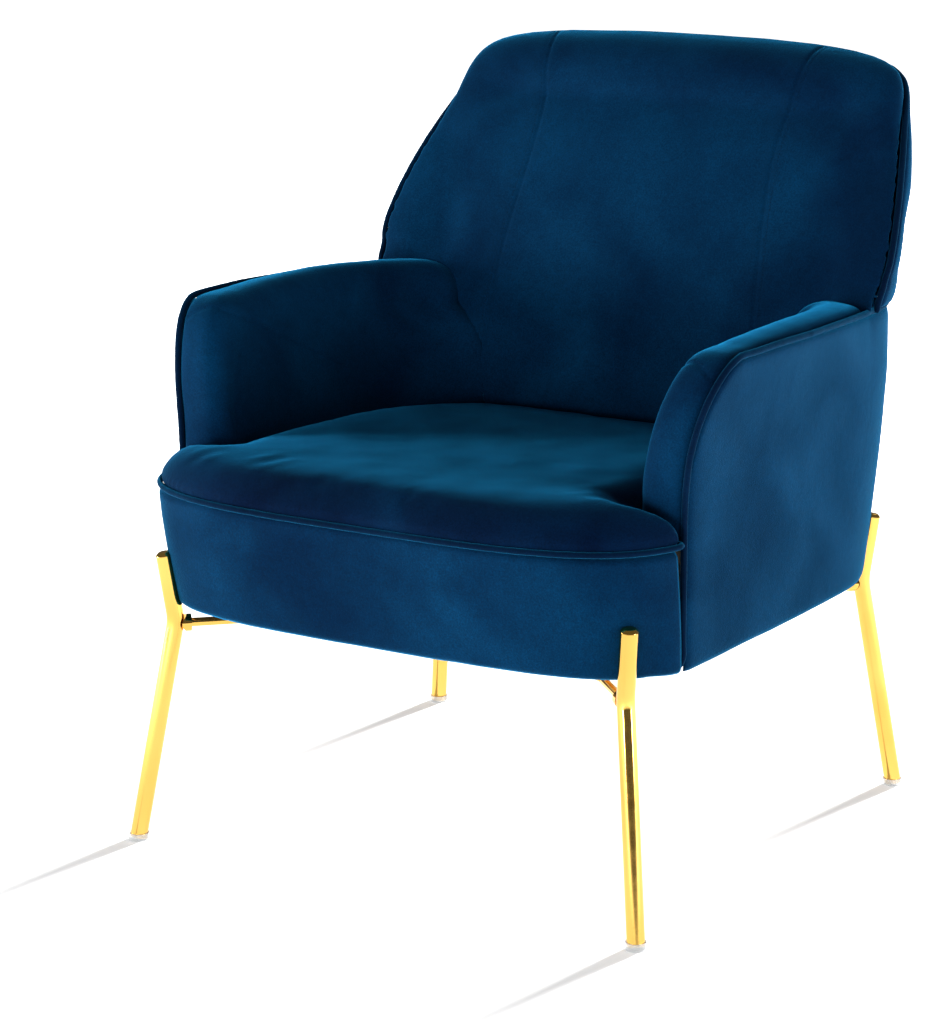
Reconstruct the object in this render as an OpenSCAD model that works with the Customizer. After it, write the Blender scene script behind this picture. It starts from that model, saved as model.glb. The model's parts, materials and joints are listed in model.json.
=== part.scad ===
// Upholstered armchair on splayed round-tube legs.
// Millimetres, +Z up, the front faces -Y. The origin is on the floor under the middle of the chair.

/* [Legs] */
// Outer diameter of a leg tube
tube_d = 20; // [18:0.5:22]
// Wall thickness of a leg tube
tube_wall = 1.5; // [1:0.25:2]
// Distance from the centre plane to a front foot
front_foot_x = 327; // [322:1:331]
// Distance in front of the origin of the front feet
front_foot_y = 354; // [350:1:358]
// Distance from the centre plane to a rear foot
rear_foot_x = 325; // [321:1:330]
// Distance behind the origin of the rear feet
rear_foot_y = 284; // [281:1:288]
// Height of the kink in a leg
kink_z = 258; // [254:1:261]
// Inward lean of a front leg along each axis, floor to kink
front_lean = 35; // [34:1:39]
// Inward lean of a rear leg along each axis, floor to kink
rear_lean = 34; // [31:1:36]
// Height of the top of a leg tube, without its cap
leg_top_z = 334; // [325:1:340]
// Outward lean of the upper tube along each axis, kink to top
upper_lean = 8; // [4:0.5:8]
// Height of a clear glide under a leg
glide_h = 8; // [7:1:10]

/* [Under-frame] */
// Diameter of the crossed rods
rod_d = 10; // [8:0.5:11]
// Height of the rods' axis
rod_z = 254; // [253:0.5:255]
// Diameter of the collar where a rod meets a leg
collar_d = 20; // [16:0.5:21]
// Side of a square mounting plate
plate_side = 56; // [48:1:60]

/* [Body] */
// Height of the underside of the upholstery
base_z = 275; // [274:0.5:276]
// Half width of the body at its sides
body_half = 331; // [329:0.5:333]
// Height of the seat cushion's edge seam
seam_z = 420; // [416:1:424]
// Height of the middle of the seat
seat_z = 459; // [455:1:463]
// Height of the welt along the arms
arm_z = 606; // [603:1:608]
// Outward flare of the arms at their tops
arm_flare = 29; // [26:1:31]
// Height of the top of the backrest
back_top_z = 874; // [870:1:878]
// Diameter of the welt cords
welt_d = 8; // [7:0.5:8.5]

/* [Structure] */
// Thickness of the wooden rails
rail_t = 22; // [20:1:24]
// Height of the wooden seat rails
rail_h = 66; // [60:1:68]
// Number of seat springs
spring_count = 5; // [4:1:6]
// Diameter of the spring wire
wire_d = 3.4; // [3:0.2:4]

/* [Hidden] */

$fn = 48;
gap = 0.3;
gold = "#e0b54a";
velvet = "#163c63";
velvet_dark = "#102d4d";
timber = "#c9a26b";
steel = "#9aa0a6";
felt = "#222226";
clear = "#e8eef0";

tube_r = tube_d / 2;
rod_r = rod_d / 2;
welt_r = welt_d / 2;
collar_len = 7;
cap_h = 4;
stand_d = 16;
plate_t = 3;
plate_top_z = base_z - 0.2;
plate_bottom_z = plate_top_z - plate_t;
bolt_r = 3;
bolt_off = 11;
cover_z = base_z + 0.1;
rail_z = base_z + 1.4;
rail_top_z = rail_z + rail_h;
panel_t = 6;
apron_t = 14;

// Joints of the wooden frame
front_rail_y = -274;
side_rail_x = 312;
side_rail_start = -251;
side_rail_end = 188;
rear_rail_half = 244;
block_leg = 130;
post_w = 30;
post_t = 25;
post_x = 255;
post_slope = 0.253;
post_lean = 0.137;
post_top_z = 795;
post_z = 284;
board_t = 18;
board_front = -238;
board_rear = 150;
board_top = 574;

// Plan of the front: where its curve starts, how far it reaches, and how square it is
front_start = 200;
front_reach = 166;
front_half = 329.5;
front_power = 3.9;
// How far the apron stands outside that plan at its bottom and at its top, and its extra lean forward
apron_low = -10;
apron_high = 4;
apron_lean = 10;
// Plan of the rear: where its curve starts, and how round it is
rear_start = 15;
rear_power = 4.8;
rear_power_top = 6.5;
// Position of the rear face at the underside, and how fast it leans back
rear_base = 274;
rear_slope = 0.206;
// Height at which the arms start to flare, and the front edge of the side panels
flare_z = 430;
flare_mid = -135;
side_front_y = -252;
side_round_len = 68;
side_round_h = 120;
// Fall of the arms' tops towards the rear
arm_fall = 14;
// Outline of the backrest's edge above the arms
wing_half = 341;
edge_top_z = back_top_z - 8;
edge_low_y = 172;

function power(u, e) = pow(max(u, 0), e);
function signed_power(u, e) = sign(u) * pow(abs(u), e);
function lerp(a, b, t) = a + (b - a) * t;
function unit(v) = v / norm(v);
function smooth(t) = let (c = min(max(t, 0), 1)) c * c * (3 - 2 * c);

// Rear face of the body at height z
function rear_y(z) = rear_base + rear_slope * (z - base_z);

// Half width of the body's outer surface at depth y and height z
function front_share(y) = power(1 - power((-y - front_start) / front_reach, front_power), 1 / front_power);
function flare(y, z) =
    arm_flare * max(0, 1 - power((y - flare_mid) / 310, 2)) * power((z - flare_z) / (arm_z - flare_z), 1.5);
function side_half(y, z) =
    (y < -front_start ? front_half * front_share(y) : lerp(front_half, body_half, min(1, (y + front_start) / 150)))
    + flare(y, z);

// Points of the body's outer plan at height z, from the front of the arm round to the rear seam
side_steps = 13;
turn_steps = 8;
turn_end = 50;
function side_path(z) = concat(
    [for (i = [0:side_steps - 1]) let (y = lerp(side_front_y, rear_start, power(i / side_steps, 1.3))) [side_half(y, z), y]],
    [for (i = [0:turn_steps]) rear_point(turn_end * i / turn_steps, z)]
);
function rear_roundness(z) = lerp(rear_power, rear_power_top, (z - base_z) / (arm_z - base_z));
function rear_point(a, z) =
    let (y = rear_start + (rear_y(z) - rear_start) * power(sin(a), 2 / rear_roundness(z)))
    [body_half * power(cos(a), 2 / rear_roundness(z)) + flare(y, z), y];

// A path moved inwards by t
function path_normal(p, i) =
    let (a = p[max(i - 1, 0)], b = p[min(i + 1, len(p) - 1)], d = unit(b - a)) [d[1], -d[0]];
function inset_path(p, t) = [for (i = [0:len(p) - 1]) p[i] - t * path_normal(p, i)];

// Height of a side panel's top edge at depth y
function side_top(y) =
    let (u = min(1, max(0, (-y - 184) / side_round_len)))
    arm_z - welt_r - side_round_h * (1 - sqrt(1 - u * u)) - arm_fall * power((min(y, 200) + 110) / 300, 1.3);

// Depth and half width of the backrest's edge at height z
function edge_rise(z) = max(0, z - 630);
function edge_y(z) = edge_low_y + 15 * smooth((z - 590) / 40) + 0.55 * edge_rise(z) + 0.0012 * pow(edge_rise(z), 2);
function edge_half(z) =
    let (rise = max(0, z - 640), t = rise / (edge_top_z - 640))
    (wing_half - 4 * smooth((650 - z) / 50) - 0.012 * power(rise, 1.6)) * sqrt(max(0, 1 - power(t, 24)));
// Height at which the edge's half width is x, by bisection
function edge_z(x, low = 640, high = edge_top_z, turns = 18) =
    let (mid = (low + high) / 2)
    turns == 0 ? mid : edge_half(mid) > abs(x) ? edge_z(x, mid, high, turns - 1) : edge_z(x, low, mid, turns - 1);

// Depth of the inside face of the backrest at half width x and height z
function inside_y(x, z) =
    let (low = 155 + 0.27 * (z - 450), high = 0.0008 * pow(max(0, z - 620), 2) + 0.08 * max(0, z - 600))
    low + high - 8 * (1 - pow(x / 350, 2));

// Half width of the space between the arms at depth y and height z
function arm_inner(y, z) =
    let (x0 = 266 + 0.16 * max(0, z - 460) + 0.0009 * pow(max(0, z - 520), 2),
         w = 100 * (1 - power((z - 440) / 150, 2.8)) + 30 * (1 - smooth((z - 450) / 40)),
         u = min(1, max(0, (y + 30) / 190)))
    x0 - max(0, w) * (1 - sqrt(1 - u * u));

// A closed solid through a list of rings, each a list of points in the same turning sense.
// A fan closes an end; with strip, an end is closed by quads between point i and point n - 1 - i.
module skin(rings, strip = false) {
    n = len(rings[0]);
    m = len(rings);
    last = (m - 1) * n;
    points = concat([for (r = rings) for (p = r) p], strip ? [] : [ring_mean(rings[0]), ring_mean(rings[m - 1])]);
    walls = [for (j = [0:m - 2]) for (i = [0:n - 1]) let (a = j * n + i, b = j * n + (i + 1) % n)
        each [[a, a + n, b], [b, a + n, b + n]]];
    fans = [for (i = [0:n - 1]) each [[m * n, i, (i + 1) % n], [m * n + 1, last + (i + 1) % n, last + i]]];
    strips = [for (i = [0:n / 2 - 2]) let (a = i, b = i + 1, c = n - 2 - i, d = n - 1 - i)
        each [[a, b, c], [a, c, d], [last + a, last + c, last + b], [last + a, last + d, last + c]]];
    polyhedron(points = points, faces = concat(walls, strip ? strips : fans), convexity = 8);
}
function ring_mean(r) = [for (k = [0:2]) sum([for (p = r) p[k]]) / len(r)];
function sum(v, i = 0) = i < len(v) ? v[i] + sum(v, i + 1) : 0;

// A round cord along a path that never runs in the direction level
cord_sides = 8;
module cord(path, r, level) {
    skin([for (i = [0:len(path) - 1]) cord_ring(path, i, r, level)]);
}
function cord_ring(path, i, r, level) =
    let (d = unit(path[min(i + 1, len(path) - 1)] - path[max(i - 1, 0)]),
         side = unit(cross(d, level)),
         up = cross(side, d))
    [for (k = [0:cord_sides - 1]) path[i] + r * (cos(-360 * k / cord_sides) * side + sin(-360 * k / cord_sides) * up)];

// A solid cylinder between two points
module bar(p, q, r) {
    d = q - p;
    translate(p)
        rotate([0, acos(d[2] / norm(d)), atan2(d[1], d[0])])
            cylinder(h = norm(d), r = r);
}

// Mirror images left and right of the centre plane
module on_right() {
    children();
}
module on_left() {
    mirror([1, 0, 0]) children();
}

// ---- Legs ----

function foot(front) = front ? [front_foot_x, -front_foot_y, 0] : [rear_foot_x, rear_foot_y, 0];
function lean(front) = front ? front_lean : rear_lean;
function back_sign(front) = front ? -1 : 1;
function kink(front) = foot(front) + [-lean(front), -lean(front) * back_sign(front), kink_z];
function leg_top(front) = kink(front) + [upper_lean, upper_lean * back_sign(front), leg_top_z - kink_z];

// A leg lies in a vertical plane through its foot. In that plane, x runs inwards and y runs up.
function low_angle(front) = atan2(kink_z, lean(front) * sqrt(2));
function top_angle() = atan2(leg_top_z - kink_z, -upper_lean * sqrt(2));
function low_len(front) = norm([lean(front) * sqrt(2), kink_z]) - tube_low;
function top_len() = norm([upper_lean * sqrt(2), leg_top_z - kink_z]);
tube_low = 3;
weld_proud = 0.35;

// The plane of a leg, centred on its kink
module leg_plane(front) {
    translate(kink(front))
        rotate([90, 0, front ? 135 : 225]) children();
}
module round_run(angle, from, to, r) {
    rotate([0, 0, angle]) translate([from, 0, 0]) rotate([0, 90, 0]) cylinder(h = to - from, r = r);
}

// Room for a leg, with a clearance all round it
module leg_room(front) {
    leg_plane(front) {
        round_run(low_angle(front), -low_len(front), 1, tube_r + gap);
        round_run(top_angle(), -1, top_len() + cap_h + 2, tube_r + gap);
    }
}

// Two straight runs with a rounded weld at the kink
module leg_run(front, r, extra) {
    round_run(low_angle(front), -low_len(front) - extra, 0, r);
    round_run(top_angle(), 0, top_len() + extra, r);
    sphere(r = r + weld_proud);
}
module leg(front) {
    color(gold)
        leg_plane(front)
            difference() {
                leg_run(front, tube_r, 0);
                leg_run(front, tube_r - tube_wall, 1);
            }
}

module leg_caps() {
    color(gold)
        for (side = [0, 1])
            mirror([side, 0, 0])
                for (front = [true, false])
                    leg_cap(front);
}

module leg_cap(front) {
    d = leg_top(front) - kink(front);
    translate(leg_top(front))
        rotate([0, acos(d[2] / norm(d)), atan2(d[1], d[0])])
            rotate_extrude()
                polygon([[0, -6], [tube_r - tube_wall - gap, -6], [tube_r - tube_wall - gap, gap],
                         [tube_r, gap], [tube_r - 3.5, cap_h], [0, cap_h + 0.6]]);
}

module glide(front) {
    d = kink(front) - foot(front);
    color(clear, 0.5)
        intersection() {
            difference() {
                bar(foot(front) - 0.1 * d, foot(front) + 0.05 * d, tube_r + 1.4);
                bar(foot(front) + tube_low * unit(d) - 0.2 * unit(d), kink(front), tube_r + gap);
            }
            translate(foot(front) - [30, 30, 0]) cube([60, 60, glide_h]);
        }
}

// ---- Under-frame ----

function mirror_x(p) = [-p[0], p[1], p[2]];
function inward(front) =
    let (far = mirror_x(kink(!front))) unit([far[0] - kink(front)[0], far[1] - kink(front)[1], 0]);
function at_rod(front, along) = [kink(front)[0], kink(front)[1], rod_z] + along * inward(front);
function rod_start(front) = at_rod(front, tube_r + 1);
function plate_mid(front) = at_rod(front, front ? 88 : 118);
function bolt_side(front) = let (d = inward(front)) [-d[1], d[0], 0];
rod_cross = [0, (kink(true)[1] + kink(false)[1]) / 2, rod_z];

module rod_long() {
    color(gold) bar(rod_start(true), mirror_x(rod_start(false)), rod_r);
}

module rod_half(start) {
    color(gold) bar(start, rod_cross - (rod_d + 0.6) * unit(rod_cross - start), rod_r);
}

module at_corners() {
    for (side = [0, 1])
        mirror([side, 0, 0]) children();
}

module rod_collars() {
    color(gold)
        at_corners() {
            rod_collar(true);
            rod_collar(false);
        }
}

module rod_collar(front) {
    p = at_rod(front, tube_r - 4);
    d = inward(front);
    difference() {
        bar(p, p + (collar_len + 4) * d, collar_d / 2);
        bar(p - d, p + (collar_len + 5) * d, rod_r + gap);
        leg_plane(front)
            round_run((low_angle(front) + top_angle()) / 2, -collar_d, collar_d, tube_r + 1.6);
    }
}

module standoffs() {
    color(gold)
        at_corners() {
            standoff(true);
            standoff(false);
        }
}

module standoff(front) {
    difference() {
        translate([plate_mid(front)[0], plate_mid(front)[1], rod_z])
            cylinder(h = plate_bottom_z - rod_z - 0.05, d = stand_d);
        bar(at_rod(front, 20), at_rod(front, 200), rod_r + 0.25);
    }
}

module mounting_plates() {
    color(gold)
        at_corners() {
            mounting_plate(true);
            mounting_plate(false);
        }
}

module mounting_plate(front) {
    difference() {
        translate([plate_mid(front)[0] - plate_side / 2, plate_mid(front)[1] - plate_side / 2, plate_bottom_z])
            cube([plate_side, plate_side, plate_t]);
        for (s = [-1, 1])
            bolt_hole(front, s, plate_bottom_z - 1, plate_t + 2);
    }
}

function bolt_at(front, s) = plate_mid(front) + s * bolt_off * sqrt(2) * bolt_side(front);
module bolt_hole(front, s, z, h) {
    translate([bolt_at(front, s)[0], bolt_at(front, s)[1], z])
        cylinder(h = h, r = bolt_r + gap);
}

washer_t = 1.2;
head_h = 4;
module frame_bolts() {
    color(steel)
        at_corners()
            for (front = [true, false], s = [-1, 1])
                translate([bolt_at(front, s)[0], bolt_at(front, s)[1], plate_bottom_z - washer_t - head_h]) {
                    cylinder(h = head_h, r = 5.6, $fn = 6);
                    cylinder(h = head_h + washer_t + plate_t + 30, r = bolt_r);
                }
}

module bolt_washers() {
    color(steel)
        at_corners()
            for (front = [true, false], s = [-1, 1])
                translate([bolt_at(front, s)[0], bolt_at(front, s)[1], plate_bottom_z - washer_t])
                    difference() {
                        cylinder(h = washer_t, r = 6.5);
                        translate([0, 0, -1]) cylinder(h = washer_t + 2, r = bolt_r + gap);
                    }
}

// ---- Wooden frame ----

// The body's plan outline at the underside, as points, moved inwards by t
front_steps = 12;
function front_point(a, x_half, start, reach, roundness = front_power) =
    [x_half * signed_power(cos(a), 2 / roundness), -(start + reach * power(sin(a), 2 / roundness))];
function front_curve(from, to) =
    [for (i = [0:front_steps]) front_point(lerp(from, to, i / front_steps), front_half, front_start, front_reach)];

module rail_front() {
    inner = inset_path(front_curve(145, 35), apron_t - apron_low + 3);
    color(timber)
        translate([0, 0, rail_z])
            linear_extrude(rail_h)
                intersection() {
                    polygon(concat(inner, [[290, front_rail_y], [-290, front_rail_y]]));
                    translate([-290, -400]) square([580, 400 + front_rail_y]);
                }
}

module rail_side() {
    color(timber)
        translate([side_rail_x - rail_t, side_rail_start, rail_z])
            cube([rail_t, side_rail_end - side_rail_start, rail_h]);
}

module rail_rear() {
    color(timber)
        translate([-rear_rail_half, side_rail_end + gap, rail_z])
            cube([2 * rear_rail_half, rail_t, rail_h]);
}

module corner_blocks() {
    color(timber)
        at_corners()
            difference() {
                union() {
                    corner_block(front_rail_y + gap, 1);
                    corner_block(side_rail_end, -1);
                }
                for (front = [true, false], s = [-1, 1])
                    bolt_hole(front, s, rail_z - 1, 34);
            }
}

module corner_block(y, way) {
    x = side_rail_x - rail_t - gap;
    translate([0, 0, rail_z])
        linear_extrude(rail_h - 14)
            polygon([[x, y], [x - block_leg, y], [x, y + way * block_leg]]);
}

module arm_frame() {
    color(timber)
        translate([side_rail_x - board_t, 0, 0])
            rotate([90, 0, 90])
                linear_extrude(board_t)
                    difference() {
                        hull() {
                            translate([board_front, rail_top_z + gap]) square([board_rear - board_front, 10]);
                            translate([board_front + 50, board_top - 50]) circle(r = 50, $fn = 40);
                            translate([board_rear - 10, board_top - 10]) square(10);
                        }
                        translate([board_front + 70, rail_top_z + 46])
                            square([board_rear - board_front - 140, board_top - rail_top_z - 100]);
                    }
}

module back_post() {
    color(timber)
        translate([post_x, side_rail_end + gap + 1, post_z])
            rotate([-atan(post_slope), -atan(post_lean), 0])
                cube([post_w, post_t, (post_top_z - post_z) / cos(atan(post_slope))]);
}

// Front plane of the back posts at height z
function post_front(z) = side_rail_end + gap + 1 + post_slope * (z - post_z);

module back_rail(z, h, half) {
    color(timber)
        translate([-half, post_front(z), z])
            rotate([-atan(post_slope), 0, 0])
                cube([2 * half, 20, h]);
}

// ---- Springs, webbing and cover ----

spring_w = 46;
spring_z = rail_top_z + 1.2;
spring_front = front_rail_y - 12;
spring_rear = side_rail_end + gap + 12;
spring_turns = 14;
function spring_step() = (spring_rear - spring_front) / spring_turns;
function spring_x(i) = (i - (spring_count - 1) / 2) * 92;

module seat_springs() {
    color(steel)
        for (i = [0:spring_count - 1])
            translate([spring_x(i), spring_front, spring_z])
                linear_extrude(wire_d) {
                    for (k = [0:spring_turns])
                        translate([-spring_w / 2, k * spring_step() - wire_d / 2]) square([spring_w, wire_d]);
                    for (k = [0:spring_turns - 1])
                        translate([(k % 2 == 0 ? 1 : -1) * spring_w / 2, (k + 0.5) * spring_step()])
                            rotate(k % 2 == 0 ? 0 : 180) half_ring();
                }
}

module half_ring() {
    r = spring_step() / 2;
    intersection() {
        difference() {
            circle(r = r + wire_d / 2);
            circle(r = r - wire_d / 2);
        }
        translate([0, -2 * r]) square([2 * r, 4 * r]);
    }
}

module spring_clips() {
    color(steel)
        for (i = [0:spring_count - 1], y = [spring_front, spring_rear])
            translate([spring_x(i) - 11, y - 7, rail_top_z + 0.2])
                difference() {
                    cube([22, 14, wire_d + 2]);
                    translate([-1, 7 - wire_d / 2 - gap / 2, 1 - gap / 2])
                        cube([24, wire_d + gap, wire_d + gap]);
                }
}

module back_webbing() {
    color(felt)
        for (z = [352, 430, 508, 586, 664])
            translate([-232, post_front(z) - 2.4, z])
                rotate([-atan(post_slope), 0, 0])
                    cube([464, 1.8, 46]);
}

module dust_cover() {
    color(felt)
        translate([0, 0, cover_z])
            linear_extrude(1)
                difference() {
                    polygon(both_sides(cover_half));
                    for (side = [0, 1], front = [true, false], s = [-1, 1])
                        mirror([side, 0])
                            translate([bolt_at(front, s)[0], bolt_at(front, s)[1]]) circle(r = bolt_r + 1);
                }
}
cover_inset = 26;
cover_half = concat(
    inset_path(front_curve(90, 20), cover_inset),
    [[298, -200], [304, -100], [306, 0], [306, 90]],
    [for (a = [30, 45, 60, 75, 90]) rear_point(a, base_z) * 0.92]
);

// ---- Upholstery: seat ----

seat_start = 170;
seat_reach = 219;
seat_half_x = 338;
seat_power = 3.5;
arm_gap_x = 264;
wing_rear_y = -265;
// Half of the seat cushion's plan, from the middle of the front to the middle of the rear
seat_half = concat(
    [for (i = [0:front_steps + 2])
        front_point(lerp(90, 16, i / (front_steps + 2)), seat_half_x, seat_start, seat_reach, seat_power)],
    [[318, wing_rear_y], [290, wing_rear_y], [arm_gap_x, wing_rear_y + 2], [arm_gap_x, -180], [arm_gap_x, -90]],
    [for (a = [0:18:90]) [140 + 122 * power(cos(a), 1.15), -40 + 186 * power(sin(a), 1.15)]],
    [[75, 151], [0, 153]]
);
function both_sides(h) = concat(h, [for (i = [len(h) - 2:-1:1]) [-h[i][0], h[i][1]]]);
function inset_loop(p, t) =
    let (n = len(p))
    [for (i = [0:n - 1]) let (d = unit(p[(i + 1) % n] - p[(i + n - 1) % n])) p[i] + t * [-d[1], d[0]]];

// The crown shrinks towards this point of the plan
crown_mid = [0, -190];
// Drop of the seat's surface from its front to its rear
function seat_drop(y) = 0.035 * (y + 230);
function seat_ring(inset, scale, z_side, z_front) =
    [for (p = inset_loop(both_sides(seat_half), inset))
        let (q = crown_mid + scale * (p - crown_mid), f = smooth((-q[1] - 200) / 90))
        [q[0], q[1], lerp(z_side - seat_drop(q[1]), z_front, f)]];

module seat_cushion() {
    color(velvet)
        skin([
            seat_ring(44, 0.25, rail_top_z + 28, rail_top_z + 14),
            seat_ring(44, 1, rail_top_z + 28, rail_top_z + 14),
            seat_ring(42, 1, seam_z - 6, seam_z - 6),
            seat_ring(8, 1, seam_z - 4, seam_z - 4),
            seat_ring(7, 1, seam_z + 12, seam_z + 4),
            seat_ring(6, 0.985, seat_z - 18, seam_z + 13),
            seat_ring(6, 0.955, seat_z - 12, seam_z + 22),
            seat_ring(6, 0.9, seat_z - 8, seam_z + 29),
            seat_ring(6, 0.78, seat_z - 4, seat_z - 6),
            seat_ring(6, 0.55, seat_z - 1, seat_z - 1),
            seat_ring(6, 0.25, seat_z, seat_z),
        ]);
}

module seat_welt() {
    h = [for (i = [0:front_steps + 5]) seat_half[i]];
    path = concat([for (i = [len(h) - 1:-1:1]) h[i]], [for (p = h) [-p[0], p[1]]]);
    color(velvet_dark) cord([for (p = path) [p[0], p[1], seam_z - 2]], welt_r, [0, 0, 1]);
}

// ---- Upholstery: front apron ----

apron_from = 8.6;
apron_top_z = seam_z - 8;
// The apron's outer face leans outwards as it rises, and keeps to the side panels at its ends
function apron_point(a, z, t) =
    let (g = (z - base_z) / (apron_top_z - base_z),
         out = lerp(apron_low, apron_high, g) * smooth((min(a, 180 - a) - apron_from) / 14),
         p = front_point(a, front_half + out - t, front_start + apron_lean * g, front_reach + out - t))
    [p[0], p[1], z];
function apron_levels() = [base_z, base_z + 8, lerp(base_z, apron_top_z, 0.35), lerp(base_z, apron_top_z, 0.7), apron_top_z - 6, apron_top_z];
function apron_skin(i) = i == 0 || i == len(apron_levels()) - 1 ? 4 : 0;

module front_apron() {
    steps = 36;
    levels = apron_levels();
    last = len(levels) - 1;
    color(velvet)
        difference() {
            skin([for (s = [0:steps]) let (a = lerp(apron_from, 180 - apron_from, s / steps)) concat(
                [for (k = [0:last]) apron_point(a, levels[k], apron_skin(k))],
                [for (k = [last:-1:0]) apron_point(a, levels[k], apron_t - 0.5 * apron_skin(k))]
            )], strip = true);
            at_corners() leg_room(true);
        }
}

// ---- Upholstery: arms ----

module side_panel() {
    levels = 9;
    top_path = side_path(arm_z - arm_fall);
    color(velvet)
        difference() {
            skin([for (i = [0:len(top_path) - 1]) let (top = side_top(top_path[i][1])) concat(
                [for (k = [0:levels]) panel_point(i, lerp(base_z, top, power(k / levels, 0.8)), k == 0 || k == levels ? 2 : 0)],
                [for (k = [levels:-1:0]) panel_point(i, lerp(base_z, top, power(k / levels, 0.8)), panel_t)]
            )], strip = true);
            leg_room(false);
        }
}
function panel_point(i, z, t) = let (p = side_path(z), q = p[i] - t * path_normal(p, i)) [q[0], q[1], z];

// The cord along the front and the top of a side panel
welt_off = welt_r + 1.2;
arm_welt_front = side_front_y - welt_off;
function arm_welt_path() = concat(
    [for (z = [base_z + 8:28:475]) [side_half(side_front_y, z) - welt_r, arm_welt_front, z]],
    [for (a = [10:16:90]) let (y = side_front_y + side_round_len * (1 - cos(a)), z = side_top(-999) + side_round_h * sin(a))
        [side_half(y, z) - welt_r, y - welt_off * cos(a), z + welt_off * sin(a)]],
    [for (y = [-150:50:0]) [side_half(y, arm_z) - welt_r, y, side_top(y) + welt_off]],
    [for (a = [8:7:turn_end]) let (p = rear_point(a, arm_z), q = p - welt_r * unit(p - [0, rear_start - 40]))
        [q[0], q[1], side_top(q[1]) + welt_off]]
);
module arm_welt() {
    color(velvet_dark) cord(arm_welt_path(), welt_r, [1, 0, 1]);
}

pad_low_z = rail_top_z + 16;
pad_stations = [-259, -257, -252, -246, board_front - 2, board_front - 1.6, -222, -205, -190, -170, -140,
    -90, -40, 10, 50, 85, 110, 130, 145, 157, 167, 175];
// Top of the arm pad at depth y: its crown stands above the welt, most of all towards the rear
function pad_crown(y) = 8 + 7 * power(1 - pow((y - 50) / 200, 2), 1);
function pad_top(y) = side_top(max(y, -254)) + pad_crown(y) - 10 * power(max(0, -252 - y) / 7, 2);
function pad_outer(y, z) = side_half(max(y, -250), z) - panel_t - gap - 2.5 - 3 * smooth((-y - 225) / 15);
function pad_ring(y) =
    let (top = pad_top(y), nose = 3 * power(max(0, -250 - y) / 4, 1.5), front = y < board_front - 1.8,
         under = board_top + 3, board_x = side_rail_x - board_t - gap,
         low = max(front ? apron_top_z + 1 : pad_low_z, 450 + (y + 2 * gap - 147.5) / 0.27),
         zs = [for (k = [0:5]) lerp(low, top - 42, k / 5)],
         inner = [for (z = zs) [arm_inner(y, z) + nose, y, z]],
         xi = inner[5][0], xo = pad_outer(y, top - 14) - nose)
    concat(
        inner,
        [[lerp(xi, xo, 0.08), y, top - 24], [lerp(xi, xo, 0.22), y, top - 9], [lerp(xi, xo, 0.45), y, top - 1],
         [lerp(xi, xo, 0.7), y, top], [xo - 1, y, top - 6], [xo, y, top - 14]],
        [for (k = [0:5]) front ? [xo, y, lerp(top - 16, top - 40, k / 5)] : [lerp(pad_outer(y, under), board_x, k / 5), y, under]],
        [for (k = [5:-1:0]) [front ? min(xo, pad_outer(y, zs[k]) - nose) : board_x, y, zs[k]]]
    );

module arm_pad() {
    color(velvet) skin([for (y = pad_stations) pad_ring(y)], strip = true);
}

// ---- Upholstery: backrest ----

seam_x = 168;
panel_gap = 0.6;
back_side_x = 330;
crown_h = 14.5;
back_low_z = 440;
// Inner face of the outside back at half width x and height z
function shell_y(x, z, t) =
    let (a = max(1, edge_half(z) - t))
    edge_y(z) + max(4, rear_y(z) - t - edge_y(z)) * power(1 - power(min(1, abs(x) / a), shell_power(z)), 1 / shell_power(z));
// The face turns forward to meet the welt near the edge
function back_front(x, z) = lerp(inside_y(x, z), edge_y(z) - 3, smooth((abs(x) / edge_half(z) - 0.8) / 0.2));
function back_rear(x, z) = max(back_front(x, z) + 6, min(post_front(z) - 3, shell_y(x, z, 8)));
function back_top(x) = min(edge_z(abs(x) + 7), edge_z(x) - 6.5);
function back_bottom(x) = lerp(back_low_z, arm_z, smooth((abs(x) - 150) / 135));

back_levels = 12;
// The outline of a cut through the back padding at half width x
function back_ring(x) =
    let (low = back_bottom(x), top = back_top(x), y = back_front(x, top), e = max(y + 2, edge_y(top) - 6),
         c = min(1, (e - y) / 30), zs = [for (k = [0:back_levels]) lerp(low, top, k / back_levels)])
    concat(
        [for (z = zs) [x, back_front(x, z), z]],
        [[x, lerp(y, e, 0.15), top + 9 * c], [x, lerp(y, e, 0.4), top + crown_h * c],
         [x, lerp(y, e, 0.75), top + 12 * c], [x, e, top + 4 * c]],
        [for (k = [back_levels:-1:0]) [x, k == back_levels ? max(back_rear(x, top), e + 1) : back_rear(x, zs[k]), zs[k]]]
    );

module back_panel(x0, x1, steps) {
    color(velvet) skin([for (i = [0:steps]) back_ring(lerp(x0, x1, i / steps))], strip = true);
}

function edge_path() = concat(
    [for (z = [shell_split_z, 612, 625]) [edge_half(z), edge_y(z), z]],
    [for (x = [340, 335, 325, 310, 290, 265, 235, 200, 150, 100, 50, 0]) let (z = edge_z(x)) [x, edge_y(z), z]]
);
module back_welt() {
    h = edge_path();
    color(velvet_dark)
        cord(concat(h, [for (i = [len(h) - 2:-1:0]) mirror_x(h[i])]), welt_r, [0, -2, 1]);
}

// The outside back: a lower panel between the side panels, and an upper shell from the welt
shell_steps = 14;
shell_t = 5;
// Distance from the welt's axis back to the shell's edge
shell_back = 8;
shell_split_z = 598;
low_levels = [base_z, 330, 390, 450, 510, 560, shell_split_z - gap];
high_levels = [shell_split_z, 610, 625, 640, 665, 690, 720, 750, 780, 805, 825, 840, 852, 860];
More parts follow.
